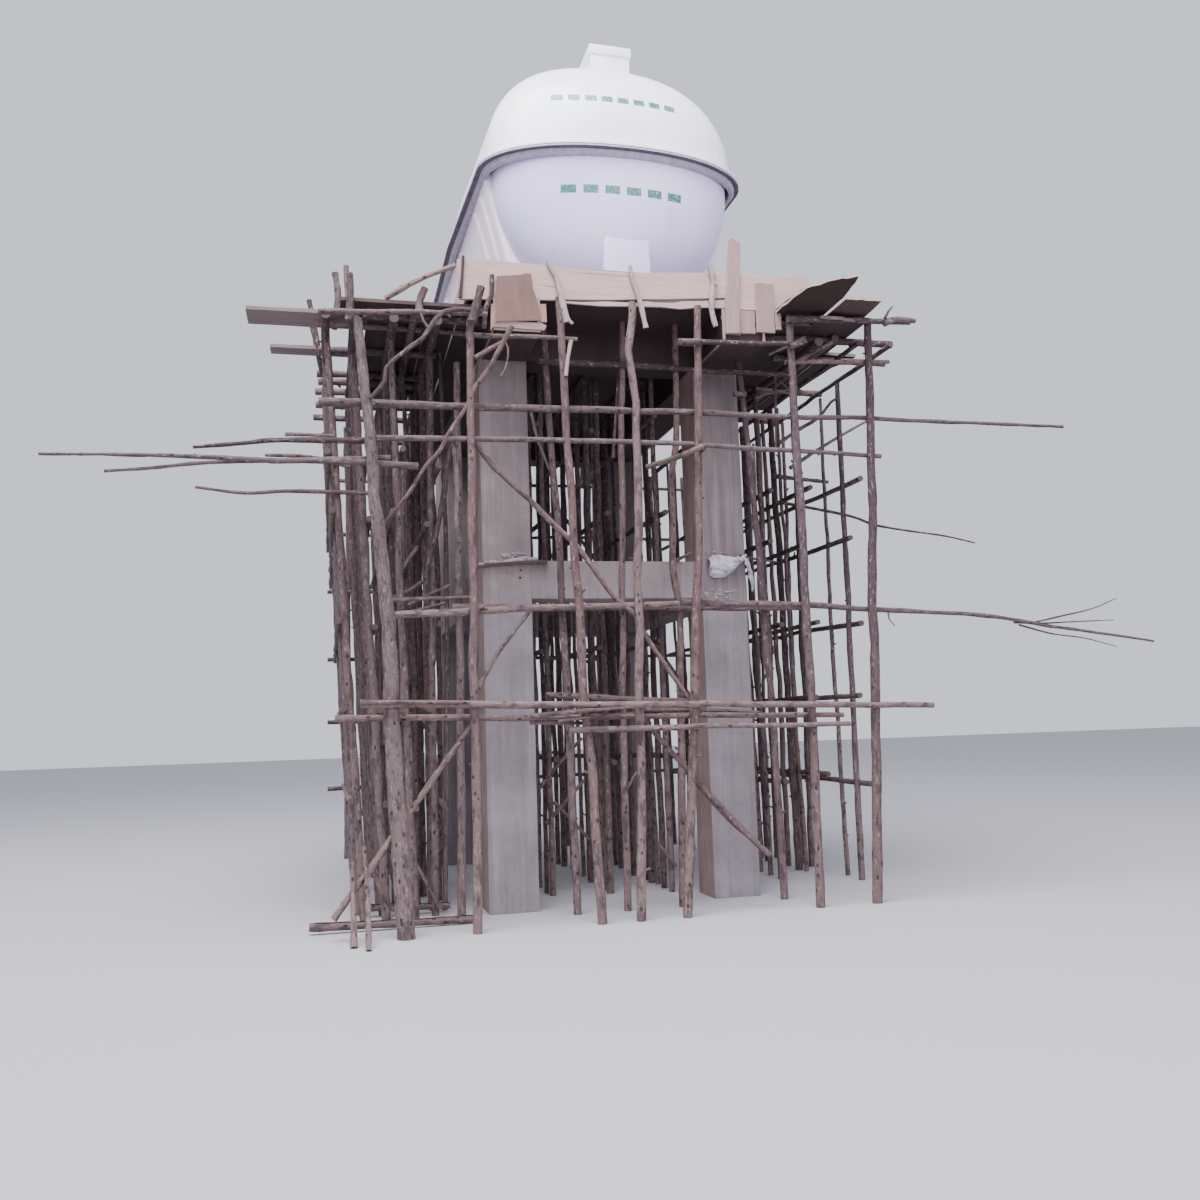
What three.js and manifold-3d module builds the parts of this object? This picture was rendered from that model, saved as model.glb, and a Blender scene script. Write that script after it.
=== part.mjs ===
// Elevated water tank on a concrete frame, with its formwork and pole scaffold still standing.
// Millimetres, +Z up. X runs across the front, Y runs from the front to the back.
import * as THREE from 'three';
import { mergeVertices } from 'three/addons/utils/BufferGeometryUtils.js';
import Module from 'manifold-3d';

const wasm = await Module();
wasm.setup();

// Fit between touching pieces
const SEAT_GAP = 0.3;

// Concrete frame
const COLUMN_SIDE = 400;
const FRAME_WIDTH = 2274;
const FRAME_DEPTH = 3823;
const COLUMN_TOP = 4530;
const TIE_BOTTOM = 2498;
const TIE_HEIGHT = 317;
const TIE_WIDTH = 300;
const SLAB_BOTTOM = 4822;
const SLAB_TOP = 5060;
const SLAB_LEFT = -1283;
const SLAB_RIGHT = 1443;
const SLAB_FRONT = -674;
const SLAB_BACK = 4526;
const DECK_BEAM_WIDTH = 320;
const CROSS_BEAM_INSET = 50;
const CROSS_BEAM_WIDTH = 300;

// Boards
const BOARD = 25;
const EDGE_BOARD_TOP = 5068;
const SOFFIT_BOTTOM = SLAB_BOTTOM - SEAT_GAP - BOARD;
const DECK_BOTTOM = 4700;
const DECK_TOP = DECK_BOTTOM + 30;
const PLANK = 32;
const SHEET = 14;
const SHEET_SLOPE = THREE.MathUtils.degToRad(3.05);

// Scaffold: how far aside of its posts a rail is tied, and the bearers under the decks
const RAIL_ASIDE = 55;
const FRONT_RAIL_ASIDE = 62;
const BEARER_RADIUS = 33;
const BEARER_HEIGHT = DECK_BOTTOM - SEAT_GAP - BEARER_RADIUS;
const SIDE_ROW_TOP = BEARER_HEIGHT - BEARER_RADIUS - SEAT_GAP;

// Tank
const TANK_HALF_WIDTH = 1270;
const TANK_LENGTH = 4600;
const TANK_NOSE = 660;
const TANK_NOSE_Y = -270;
const TANK_AXIS_X = 155;
const TANK_AXIS_Y = 300;
const TANK_TURN = THREE.MathUtils.degToRad(1.6);
const RIM_HEIGHT = 6360;
const RIM_LIP = 80;
const RIM_THICK = 34;
const DOME_RISE = 1150;
const TANK_WALL = 14;
const BARREL = 0.06;
const BOWL_HALF_WIDTH = 1130;
const BOWL_CLEARANCE = 60;
const HATCH_SIDE = 405;
const HATCH_TOP = 7800;
const FOOT_WIDTH = 440;
const FOOT_TOP = 5650;
const AROUND = 36;
const LEVELS = 16;

const concrete = paint('#a59da2', 0.9);
const board = paint('#cdb7a6', 0.8);
const plywood = paint('#6d4b41', 0.75);
const bark = paint('#84696a', 0.9);
const gelcoat = paint('#e8e6f1', 0.35);
const lidGrey = paint('#cfcfd6', 0.45);

const tower = new THREE.Group();

function paint(colour, roughness) {
  return new THREE.MeshStandardMaterial({ color: colour, roughness, metalness: 0 });
}

function addPiece(name, geometry, material, parent = tower) {
  const mesh = new THREE.Mesh(geometry, material);
  mesh.name = name;
  parent.add(mesh);
  return mesh;
}

// A box between two corners
function block(x0, x1, y0, y1, z0, z1) {
  const geometry = new THREE.BoxGeometry(x1 - x0, y1 - y0, z1 - z0);
  geometry.translate((x0 + x1) / 2, (y0 + y1) / 2, (z0 + z1) / 2);
  return geometry;
}

function toSolid(geometry) {
  const bare = geometry.clone();
  bare.deleteAttribute('normal');
  bare.deleteAttribute('uv');
  const merged = mergeVertices(bare, 1e-4);
  const vertProperties = new Float32Array(merged.attributes.position.array);
  const triVerts = new Uint32Array(merged.index.array);
  return new wasm.Manifold(new wasm.Mesh({ numProp: 3, vertProperties, triVerts }));
}

function toGeometry(solid) {
  const mesh = solid.getMesh();
  const geometry = new THREE.BufferGeometry();
  geometry.setAttribute('position', new THREE.BufferAttribute(mesh.vertProperties, 3));
  geometry.setIndex(new THREE.BufferAttribute(mesh.triVerts, 1));
  const flat = geometry.toNonIndexed();
  flat.computeVertexNormals();
  return flat;
}

function fuse(geometries) {
  let solid = toSolid(geometries[0]);
  for (const geometry of geometries.slice(1)) {
    solid = solid.add(toSolid(geometry));
  }
  return toGeometry(solid);
}

// A natural pole from foot to head, thinner at the head, bowed sideways between its ends.
// Upright poles are sawn level at both ends.
function pole(foot, head, footRadius, headRadius, bow = [0, 0, 0], steps = 2, sides = 6) {
  const start = new THREE.Vector3(...foot);
  const end = new THREE.Vector3(...head);
  const length = start.distanceTo(end);
  const bend = bow.some((value) => value !== 0);
  const rings = bend ? steps : 1;
  const geometry = new THREE.CylinderGeometry(headRadius, footRadius, length, sides, rings);
  geometry.translate(0, length / 2, 0);
  const position = geometry.attributes.position;
  const turn = new THREE.Quaternion();
  turn.setFromUnitVectors(new THREE.Vector3(0, 1, 0), end.clone().sub(start).normalize());
  const sway = new THREE.Vector3(...bow);
  const point = new THREE.Vector3();
  const upright = Math.abs(end.z - start.z) > 0.9 * length;
  for (let i = 0; i < position.count; i += 1) {
    point.fromBufferAttribute(position, i);
    const along = point.y / length;
    point.applyQuaternion(turn).add(start);
    point.addScaledVector(sway, Math.sin(Math.PI * along));
    if (upright && along < 0.001) {
      point.z = start.z;
    }
    if (upright && along > 0.999) {
      point.z = end.z;
    }
    position.setXYZ(i, point.x, point.y, point.z);
  }
  return geometry;
}

// Columns, ties and the beams under the slab
function buildFrame() {
  const left = -FRAME_WIDTH / 2;
  const right = FRAME_WIDTH / 2;
  const back = FRAME_DEPTH;
  const side = COLUMN_SIDE;
  const gap = SEAT_GAP;
  const tieTop = TIE_BOTTOM + TIE_HEIGHT;
  const corners = {
    front_left: [left, 0],
    front_right: [right - side, 0],
    rear_left: [left, back - side],
    rear_right: [right - side, back - side],
  };
  for (const [place, [x, y]] of Object.entries(corners)) {
    addPiece(`column_${place}`, block(x, x + side, y, y + side, 0, COLUMN_TOP), concrete);
  }
  const innerLeft = left + side + gap;
  const innerRight = right - side - gap;
  const innerFront = side + gap;
  const innerBack = back - side - gap;
  addPiece('tie_beam_front', block(innerLeft, innerRight, 0, TIE_WIDTH, TIE_BOTTOM, tieTop), concrete);
  addPiece('tie_beam_rear',
    block(innerLeft, innerRight, back - TIE_WIDTH, back, TIE_BOTTOM, tieTop), concrete);
  addPiece('tie_beam_left',
    block(left, left + TIE_WIDTH, innerFront, innerBack, TIE_BOTTOM, tieTop), concrete);
  addPiece('tie_beam_right',
    block(right - TIE_WIDTH, right, innerFront, innerBack, TIE_BOTTOM, tieTop), concrete);

  const beamBottom = COLUMN_TOP + gap;
  const beamTop = SLAB_BOTTOM - gap;
  const beams = { left: left + 50, right: right - DECK_BEAM_WIDTH - 30 };
  for (const [place, x] of Object.entries(beams)) {
    addPiece(`deck_beam_${place}`,
      block(x, x + DECK_BEAM_WIDTH, SLAB_FRONT, SLAB_BACK, beamBottom, beamTop), concrete);
  }
  const crossLeft = beams.left + DECK_BEAM_WIDTH + gap;
  const crossRight = beams.right - gap;
  const inset = CROSS_BEAM_INSET;
  const deep = inset + CROSS_BEAM_WIDTH;
  addPiece('deck_cross_beam_front',
    block(crossLeft, crossRight, inset, deep, beamBottom, beamTop), concrete);
  addPiece('deck_cross_beam_rear',
    block(crossLeft, crossRight, back - deep, back - inset, beamBottom, beamTop), concrete);
  addPiece('deck_slab',
    block(SLAB_LEFT, SLAB_RIGHT, SLAB_FRONT, SLAB_BACK, SLAB_BOTTOM, SLAB_TOP), concrete);
  return beams;
}

// A board box around the overhanging end of a deck beam: two cheeks, a floor and an end
function beamBox(x, yOpen, yEnd) {
  const gap = SEAT_GAP;
  const x0 = x - gap - BOARD;
  const x1 = x + DECK_BEAM_WIDTH + gap + BOARD;
  const bottom = COLUMN_TOP - BOARD;
  const top = SOFFIT_BOTTOM - gap;
  const outward = Math.sign(yEnd - yOpen);
  const endInner = yEnd + outward * gap;
  const endOuter = endInner + outward * BOARD;
  const y0 = Math.min(yOpen, endOuter);
  const y1 = Math.max(yOpen, endOuter);
  const endY0 = Math.min(endInner, endOuter);
  const endY1 = Math.max(endInner, endOuter);
  return fuse([
    block(x0, x1, y0, y1, bottom, COLUMN_TOP),
    block(x0, x0 + BOARD, y0, y1, bottom, top),
    block(x1 - BOARD, x1, y0, y1, bottom, top),
    block(x0, x1, endY0, endY1, bottom, top),
  ]);
}

// Boards that hold the slab's edge and underside
function buildFormwork(beams) {
  const gap = SEAT_GAP;
  const back = FRAME_DEPTH;
  const x0 = SLAB_LEFT - gap - BOARD;
  const x1 = SLAB_RIGHT + gap + BOARD;
  const y0 = SLAB_FRONT - gap;
  const y1 = SLAB_BACK + gap;
  const low = SOFFIT_BOTTOM;
  addPiece('formwork_front_board', block(x0, x1, y0 - BOARD, y0, low, EDGE_BOARD_TOP), board);
  addPiece('formwork_rear_board', block(x0, x1, y1, y1 + BOARD, low, EDGE_BOARD_TOP), board);
  addPiece('formwork_left_board',
    block(x0, x0 + BOARD, y0 + gap, y1 - gap, low, EDGE_BOARD_TOP), board);
  addPiece('formwork_right_board',
    block(x1 - BOARD, x1, y0 + gap, y1 - gap, low, EDGE_BOARD_TOP), board);

  buildSoffit(beams, x0 + BOARD + gap, x1 - BOARD - gap);
  addPiece('beam_box_front_left', beamBox(beams.left, -gap, SLAB_FRONT), board);
  addPiece('beam_box_front_right', beamBox(beams.right, -gap, SLAB_FRONT), board);
  addPiece('beam_box_rear_left', beamBox(beams.left, back + gap, SLAB_BACK), board);
  addPiece('beam_box_rear_right', beamBox(beams.right, back + gap, SLAB_BACK), board);
  const frontFace = y0 - BOARD - gap;
  addPiece('upright_board_right',
    block(806, 918, frontFace - BOARD, frontFace, 4540, 5392), board);
}

// Sheets under the slab: one on each outer side, three between the beams
function buildSoffit(beams, leftEdge, rightEdge) {
  const gap = SEAT_GAP;
  const top = SLAB_BOTTOM - gap;
  const innerLeft = beams.left + DECK_BEAM_WIDTH + gap;
  const innerRight = beams.right - gap;
  const outerRight = beams.right + DECK_BEAM_WIDTH + gap;
  const inset = CROSS_BEAM_INSET;
  const deep = inset + CROSS_BEAM_WIDTH;
  const sheets = {
    left: [leftEdge, beams.left - gap, SLAB_FRONT, SLAB_BACK],
    right: [outerRight, rightEdge, SLAB_FRONT, SLAB_BACK],
    front: [innerLeft, innerRight, SLAB_FRONT, inset - gap],
    middle: [innerLeft, innerRight, deep + gap, FRAME_DEPTH - deep - gap],
    rear: [innerLeft, innerRight, FRAME_DEPTH - inset + gap, SLAB_BACK],
  };
  for (const [place, [x0, x1, y0, y1]] of Object.entries(sheets)) {
    addPiece(`soffit_board_${place}`, block(x0, x1, y0, y1, SOFFIT_BOTTOM, top), plywood);
  }
}

// A sheet cut to an outline that rests on the deck at its back and rises towards the front
function risingSheet(corners, hinge) {
  const shape = new THREE.Shape(corners.map(([x, y]) => new THREE.Vector2(x, y - hinge)));
  const geometry = new THREE.ExtrudeGeometry(shape, { depth: SHEET, bevelEnabled: false });
  geometry.rotateX(-SHEET_SLOPE);
  geometry.translate(0, hinge, DECK_TOP + SEAT_GAP);
  return geometry;
}

// Loose planks and sheets that make a working platform on both sides
function buildPlatforms(beams) {
  const gap = SEAT_GAP;
  const leftCheek = beams.left - BOARD - 4 * gap;
  const rightCheek = beams.right + DECK_BEAM_WIDTH + BOARD + 4 * gap;
  const lift = DECK_TOP + gap;
  const hinge = 50;
  const pointed = [[1228, -800], [1602, -1480], [1655, -760], [1700, hinge], [1250, hinge]];
  const squared = [[1712, -1045], [2030, -1045], [2030, hinge], [1712, hinge]];
  const planks = {
    front_plank_left: block(-2260, leftCheek, -620, -300, DECK_BOTTOM, DECK_TOP),
    plank_left: block(-2970, -1600, -250, 70, lift, lift + PLANK),
    plank_left_rear: block(-2830, -1600, 590, 765, lift, lift + PLANK),
  };
  const sheets = {
    deck_left: block(-2060, leftCheek, -295, 2100, DECK_BOTTOM, DECK_TOP),
    deck_right: block(rightCheek, 2010, -620, 2600, DECK_BOTTOM, DECK_TOP),
    sheet_right: risingSheet(pointed, hinge),
    sheet_right_outer: risingSheet(squared, hinge),
  };
  for (const [name, piece] of Object.entries(planks)) {
    addPiece(`platform_${name}`, piece, board);
  }
  for (const [name, piece] of Object.entries(sheets)) {
    addPiece(`platform_${name}`, piece, plywood);
  }
}

// Bearers that cross the side rows and carry a deck, tied together by one runner
function buildBearers(place, spans, runnerX) {
  const z = BEARER_HEIGHT;
  const radius = BEARER_RADIUS;
  const logs = spans.map(([x0, x1, y]) => {
    return pole([x0, y, z], [x1, y, z], radius, radius, undefined, 1, 6);
  });
  const start = spans[0][2] - 80;
  const end = spans[spans.length - 1][2] + 80;
  logs.push(pole([runnerX, start, z], [runnerX, end, z], radius, 0.8 * radius, undefined, 1, 6));
  addPiece(`deck_bearers_${place}`, fuse(logs), bark);
}

// One scaffold frame whose posts stand in a row: `place` turns (along, aside, up) into x, y, z
function scaffoldFrame(place, posts, rails, braces) {
  const pieces = [];
  for (const post of posts) {
    const bow = place(post.bow ?? 0, 0, 0, true);
    const foot = place(post.foot, post.footAside ?? 0, 0);
    const head = place(post.head, post.headAside ?? 0, post.top);
    pieces.push(pole(foot, head, post.radius, post.radius * 0.8, bow));
  }
  for (const rail of rails) {
    const from = place(rail.from, rail.aside, rail.z0);
    const to = place(rail.to, rail.aside, rail.z1 ?? rail.z0);
    const sides = rail.sides ?? 5;
    pieces.push(pole(from, to, rail.radius, rail.radius * 0.75, undefined, 1, sides));
  }
  for (const brace of braces) {
    const from = place(brace.from, brace.aside, brace.z0);
    const to = place(brace.to, brace.aside, brace.z1);
    pieces.push(pole(from, to, brace.radius, brace.radius * 0.8, undefined, 1, 5));
  }
  return fuse(pieces);
}

// Frames that run across, at a fixed y
function acrossAt(y) {
  return (along, aside, up, free = false) => (free ? [along, 0, 0] : [along, y + aside, up]);
}

// Frames that run from front to back, at a fixed x
function alongAt(x) {
  return (along, aside, up, free = false) => (free ? [0, along, 0] : [x + aside, along, up]);
}

// The front row, pole by pole as it stands
function buildFrontFrames() {
  const railAside = FRONT_RAIL_ASIDE;
  const soffitSeat = SOFFIT_BOTTOM - SEAT_GAP;
  const frontPosts = [
    { foot: -1835, head: -2135, top: 4520, radius: 66, bow: 25 },
    { foot: -1327, head: -1299, top: 4570, radius: 46 },
    { foot: -405, head: -590, headAside: 45, top: soffitSeat, radius: 48, bow: -20 },
    { foot: -110, head: -18, headAside: 45, top: soffitSeat, radius: 46, bow: -25 },
    { foot: 250, head: 555, headAside: 45, top: soffitSeat, radius: 46, bow: 30 },
    { foot: 1333, head: 1331, top: 4740, radius: 48, bow: 12 },
    { foot: 1815, head: 2038, top: 4740, radius: 52, bow: 10 },
  ];
  const frontRails = [
    { from: -2425, to: -1170, aside: -railAside, z0: 4575, radius: 34 },
    { from: -2020, to: 2110, aside: railAside, z0: 3600, z1: 3572, radius: 32 },
    { from: -1890, to: 300, aside: railAside, z0: 2300, z1: 2375, radius: 34 },
    { from: -2140, to: 2385, aside: -railAside, z0: 1655, z1: 1528, radius: 36 },
    { from: -2315, to: 1640, aside: railAside, z0: 1560, z1: 1473, radius: 34 },
    { from: -630, to: 1640, aside: -railAside, z0: 1424, z1: 1402, radius: 30 },
    { from: -1330, to: 560, aside: railAside, z0: 4385, z1: 4400, radius: 34 },
    { from: 1290, to: 2400, aside: -railAside, z0: 4741, z1: 4749, radius: 34 },
  ];
  const frontBraces = [
    { from: -1270, to: 1010, aside: railAside + 4, z0: 3654, z1: 280, radius: 26 },
    { from: -1415, to: -2087, aside: -railAside, z0: 4650, z1: 3905, radius: 24 },
    { from: -2002, to: -1310, aside: railAside, z0: 2743, z1: 3790, radius: 20 },
    { from: -2330, to: -1330, aside: railAside, z0: 160, z1: 1490, radius: 26 },
  ];
  addPiece('pole_frame_front',
    scaffoldFrame(acrossAt(-745), frontPosts, frontRails, frontBraces), bark);

  const secondPosts = [
    { foot: -485, head: -640, top: soffitSeat, radius: 42, bow: 20 },
    { foot: -82, head: 40, top: soffitSeat, radius: 40, bow: -25 },
    { foot: 372, head: 500, top: soffitSeat, radius: 42, bow: 10 },
    { foot: 1240, head: 1060, top: COLUMN_TOP - BOARD - SEAT_GAP, radius: 40, bow: 40 },
    { foot: -1385, head: -1350, top: 4380, radius: 44 },
  ];
  const secondRails = [
    { from: -690, to: 1480, aside: -56, z0: 4410, z1: 4395, radius: 32 },
    { from: -1425, to: 1500, aside: -56, z0: 2395, z1: 2380, radius: 36 },
    { from: -700, to: 1480, aside: -56, z0: 1700, z1: 1560, radius: 30 },
  ];
  addPiece('pole_frame_front_second',
    scaffoldFrame(acrossAt(-260), secondPosts, secondRails, []), bark);
}

// A pseudo-regular shift that keeps rows of poles from looking ruled
function jitter(seed, size) {
  const wave = Math.sin(seed * 12.9898) * 43758.5453;
  return (wave - Math.floor(wave) - 0.5) * 2 * size;
}

function rowOfPosts(stations, seed, top, radius, footLine = 0, headLine = 0) {
  return stations.map((y, i) => ({
    foot: y + jitter(seed + i, 50),
    head: y + jitter(seed + i + 0.37, 70),
    footAside: footLine + jitter(seed + i + 0.71, 22),
    headAside: headLine + jitter(seed + i + 0.13, 18),
    top,
    radius: radius + jitter(seed + i + 0.53, 6),
  }));
}

// Rails at several levels; `asideAt` gives how far aside each one lies
function rowOfRails(from, to, levels, seed, asideAt) {
  return levels.map((z, i) => ({
    from: from + jitter(seed + i * 0.9, 90),
    to: to + jitter(seed + i * 0.9 + 0.4, 90),
    aside: asideAt(z, i),
    z0: z + jitter(seed + i * 0.9 + 0.2, 45),
    z1: z + jitter(seed + i * 0.9 + 0.6, 45),
    radius: 31,
  }));
}

// The rail that lies over a row's heads, level along its top
function capRail(from, to, aside, top) {
  const radius = 36;
  return { from, to, aside, z0: top - radius, z1: top - 0.75 * radius, radius, sides: 6 };
}

function eitherSide(i) {
  return i % 2 === 0 ? RAIL_ASIDE : -RAIL_ASIDE;
}

// Rows that run back along both sides: x at the foot and at the head, first seed,
// post stations, and the side on which the rails are tied where a row has only one
const SIDE_ROWS = {
  left_outer: [-2100, -2370, 1, [-100, 500, 1100, 1700, 2330, 2980, 3640, 4230], -1],
  left_second: [-1930, -2160, 91, [200, 820, 1420, 2080, 2750, 3420, 4050], 1],
  left_middle: [-1740, -1860, 11, [-180, 430, 1020, 1650, 2280, 2930, 3560, 4150]],
  left_inner: [-1530, -1530, 21, [160, 700, 1250, 1790, 2340, 2900, 3470, 4020]],
  right_inner: [1690, 1660, 31, [800, 1400, 2050, 2700, 3400, 4100]],
  right_middle: [2070, 2030, 101, [820, 1350, 2150, 2950, 3750]],
  right_outer: [2270, 2330, 41, [400, 1500, 2350, 3200, 4050]],
};
// Bearers from front to back: x at the left and the right end, and y
const LEFT_BEARERS = [
  [-2090, -1150, -420], [-2430, -1450, 420], [-2450, -1420, 1060], [-2440, -1500, 1290],
  [-2470, -1430, 1590], [-2470, -1450, 2030], [-2500, -1460, 2480], [-2480, -1430, 3380],
];
const RIGHT_BEARERS = [[1160, 2420, -440], [1500, 2600, 30], [1530, 2430, 1000], [1520, 2440, 2000]];
const UNDER_ROWS = {
  under_left: [-480, -480, 51, [800, 1280, 1780, 2260, 2760, 3270]],
  under_middle: [30, 30, 61, [720, 1080, 1620, 2180, 2750, 3260]],
  under_right: [520, 520, 71, [520, 820, 1180, 1720, 2260, 2780, 3260]],
};
const SIDE_LEVELS = [900, 1650, 2330, 3120, 3620];
const UNDER_LEVELS = [1150, 2150, 3350, 4150];

function buildRow(name, [footLine, headLine, seed, stations, tiedSide], side) {
  const start = stations[0];
  const end = stations[stations.length - 1];
  const lineAt = (z) => footLine + ((headLine - footLine) * z) / side.top;
  const asideAt = (z, i) => lineAt(z) + (tiedSide ? tiedSide * RAIL_ASIDE : eitherSide(i));
  const posts = rowOfPosts(stations, seed, side.top, side.radius, footLine, headLine);
  const rails = rowOfRails(start - side.overrun, end + 100, side.levels, seed + 5, asideAt);
  rails.push(capRail(side.capFrom ?? start - 60, end + 60, headLine, side.top));
  addPiece(`pole_frame_${name}`, scaffoldFrame(alongAt(0), posts, rails, []), bark);
}

function buildRows() {
  const side = { top: SIDE_ROW_TOP, overrun: 160, capFrom: -590, levels: SIDE_LEVELS, radius: 42 };
  for (const [name, row] of Object.entries(SIDE_ROWS)) {
    buildRow(name, row, side);
  }
  const under = { top: SOFFIT_BOTTOM - SEAT_GAP, overrun: 120, levels: UNDER_LEVELS, radius: 40 };
  for (const [name, row] of Object.entries(UNDER_ROWS)) {
    buildRow(name, row, under);
  }
}

// The rear frame; its four middle posts lean in under the slab and the beam boxes
function buildRearFrame() {
  const stations = [-2150, -1740, -1330, -910, -180, 480, 950, 1340, 1760, 2200];
  const posts = rowOfPosts(stations, 81, 4650, 44);
  const boxSeat = COLUMN_TOP - BOARD - SEAT_GAP;
  const soffitSeat = SOFFIT_BOTTOM - SEAT_GAP;
  const leaning = { 3: boxSeat, 4: soffitSeat, 5: soffitSeat, 6: boxSeat };
  for (const [i, top] of Object.entries(leaning)) {
    posts[i].top = top;
    posts[i].headAside = -150;
  }
  const levels = [850, 1600, 2350, 3150, 3850, 4500];
  const rails = rowOfRails(-2350, 2400, levels, 85, (z, i) => eitherSide(i));
  const braces = [
    { from: -2150, to: -180, aside: 55, z0: 300, z1: 2900, radius: 27 },
    { from: 2200, to: 480, aside: -55, z0: 1700, z1: 4200, radius: 27 },
  ];
  addPiece('pole_frame_rear', scaffoldFrame(acrossAt(4680), posts, rails, braces), bark);
}

// Long rails behind the front posts, whose thin ends reach far past them
function buildLongRails() {
  const straight = [0, 0, 0];
  const rails = {
    upper: pole([-2424, -635.9, 3858], [3905, -661.2, 3925], 34, 13, straight),
    middle: pole([330, -653.0, 2390], [4600, -715.7, 2025], 30, 10, [0, 0, 85], 3),
    left: pole([-1700, -666.7, 3420], [-4300, -666.7, 3440], 28, 9, [0, 0, 20], 3),
  };
  for (const [place, rail] of Object.entries(rails)) {
    addPiece(`long_rail_${place}`, rail, bark);
  }
}

// A point of the tank's outline seen from above, for a given half width and nose length
function planPoint(angle, halfWidth, nose, straight) {
  const c = Math.cos(angle);
  const s = Math.sin(angle);
  const power = 2 / 2.2;
  const x = halfWidth * Math.sign(c) * Math.abs(c) ** power;
  const bow = Math.abs(s) < 1e-6 ? 0 : Math.sign(s);
  const y = nose * Math.sign(s) * Math.abs(s) ** power + bow * straight;
  const narrow = 1 - BARREL * (y / (TANK_LENGTH / 2)) ** 2;
  return new THREE.Vector2(x * narrow, y);
}

function planShape(inset, count) {
  const halfWidth = TANK_HALF_WIDTH - inset;
  const nose = TANK_NOSE - inset;
  const straight = TANK_LENGTH / 2 - TANK_NOSE;
  const points = [];
  for (let i = 0; i < count; i += 1) {
    points.push(planPoint((2 * Math.PI * i) / count, halfWidth, nose, straight));
  }
  return points;
}

// A rounded shell form: a sphere drawn out to the tank's plan and swelled to its section
function swelled({ halfWidth, nose, noseAtTop, rise, fullness }) {
  const straight = TANK_LENGTH / 2 - TANK_NOSE;
  const geometry = new THREE.SphereGeometry(1, AROUND, LEVELS);
  geometry.rotateX(Math.PI / 2);
  const bare = geometry.clone();
  bare.deleteAttribute('normal');
  bare.deleteAttribute('uv');
  const sphere = mergeVertices(bare, 1e-5);
  const position = sphere.attributes.position;
  for (let i = 0; i < position.count; i += 1) {
    const nx = position.getX(i);
    const ny = position.getY(i);
    const nz = position.getZ(i);
    const spread = Math.min(1, Math.hypot(nx, ny)) ** (2 / fullness);
    const height = Math.min(1, Math.abs(nz)) ** (2 / fullness) * Math.sign(nz);
    if (spread < 1e-3) {
      position.setXYZ(i, 0, 0, height * rise);
      continue;
    }
    const shrink = (noseAtTop - nose) * (1 - spread);
    const angle = Math.atan2(Math.abs(ny) < 1e-6 ? 0 : ny, nx);
    const point = planPoint(angle, halfWidth * spread, nose * spread, straight - shrink);
    position.setXYZ(i, point.x, point.y, height * rise);
  }
  return sphere;
}

function cutTo(solid, geometry) {
  return solid.intersect(toSolid(geometry));
}

// The dome above the rim, open below
function buildUpperShell(tank) {
  const size = {
    halfWidth: TANK_HALF_WIDTH - RIM_LIP,
    nose: TANK_NOSE - RIM_LIP,
    noseAtTop: 1000,
    rise: DOME_RISE,
    fullness: 2.25,
  };
  const outer = toSolid(swelled(size));
  const inner = toSolid(swelled({
    ...size,
    halfWidth: size.halfWidth - TANK_WALL,
    nose: size.nose - TANK_WALL,
    rise: size.rise - TANK_WALL,
  }));
  const base = RIM_HEIGHT + RIM_THICK / 2 + SEAT_GAP;
  const far = TANK_LENGTH;
  const above = block(-far, far, -far, far, 0, far);
  const dome = toGeometry(cutTo(outer.subtract(inner), above));
  dome.translate(0, 0, base);
  addPiece('tank_upper_shell', dome, gelcoat, tank);
  buildHatch(tank, outer.translate([0, 0, base + SEAT_GAP]));
}

// The inspection box that stands on the dome near its front end
function buildHatch(tank, domeSeat) {
  const x = 90;
  const y = -1310;
  const half = HATCH_SIDE / 2;
  const bottom = HATCH_TOP - 800;
  const box = toSolid(block(x - half, x + half, y - half, y + half, bottom, HATCH_TOP));
  const seated = toGeometry(keepLargest(box.subtract(domeSeat)));
  addPiece('tank_hatch_box', seated, lidGrey, tank);
}

function buildRim(tank) {
  const rim = new THREE.Shape(planShape(0, 40));
  rim.holes.push(new THREE.Path(planShape(RIM_LIP + TANK_WALL + 6, 40)));
  const ring = new THREE.ExtrudeGeometry(rim, { depth: RIM_THICK, bevelEnabled: false });
  ring.translate(0, 0, RIM_HEIGHT - RIM_THICK / 2);
  addPiece('tank_rim_flange', ring, gelcoat, tank);
}

// The body below the rim: a trough in the middle, a bowl on a foot at each end
function buildLowerShell(tank) {
  const top = RIM_HEIGHT - RIM_THICK / 2 - SEAT_GAP;
  const bottom = SLAB_TOP + SEAT_GAP;
  const half = TANK_LENGTH / 2 - TANK_NOSE - 20;
  const size = {
    halfWidth: BOWL_HALF_WIDTH,
    nose: TANK_NOSE - RIM_LIP,
    noseAtTop: TANK_NOSE - RIM_LIP,
    rise: top - bottom - BOWL_CLEARANCE,
    fullness: 2.05,
  };
  const outer = toSolid(swelled(size));
  const inner = toSolid(swelled({
    ...size,
    halfWidth: size.halfWidth - TANK_WALL,
    nose: size.nose - TANK_WALL,
    rise: size.rise - TANK_WALL,
  }));
  const wall = outer.subtract(inner);
  const body = trough(half, top, bottom).subtract(inner.translate([0, 0, top]));
  addPiece('tank_lower_shell', toGeometry(body), gelcoat, tank);
  const ends = { front: -1, rear: 1 };
  for (const [place, way] of Object.entries(ends)) {
    const end = bowlEnd(wall, way, half + SEAT_GAP);
    end.translate(0, 0, top);
    addPiece(`tank_${place}_bowl`, end, gelcoat, tank);
    addPiece(`tank_${place}_foot`, tankFoot(outer, way, top, bottom), gelcoat, tank);
  }
}

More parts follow.
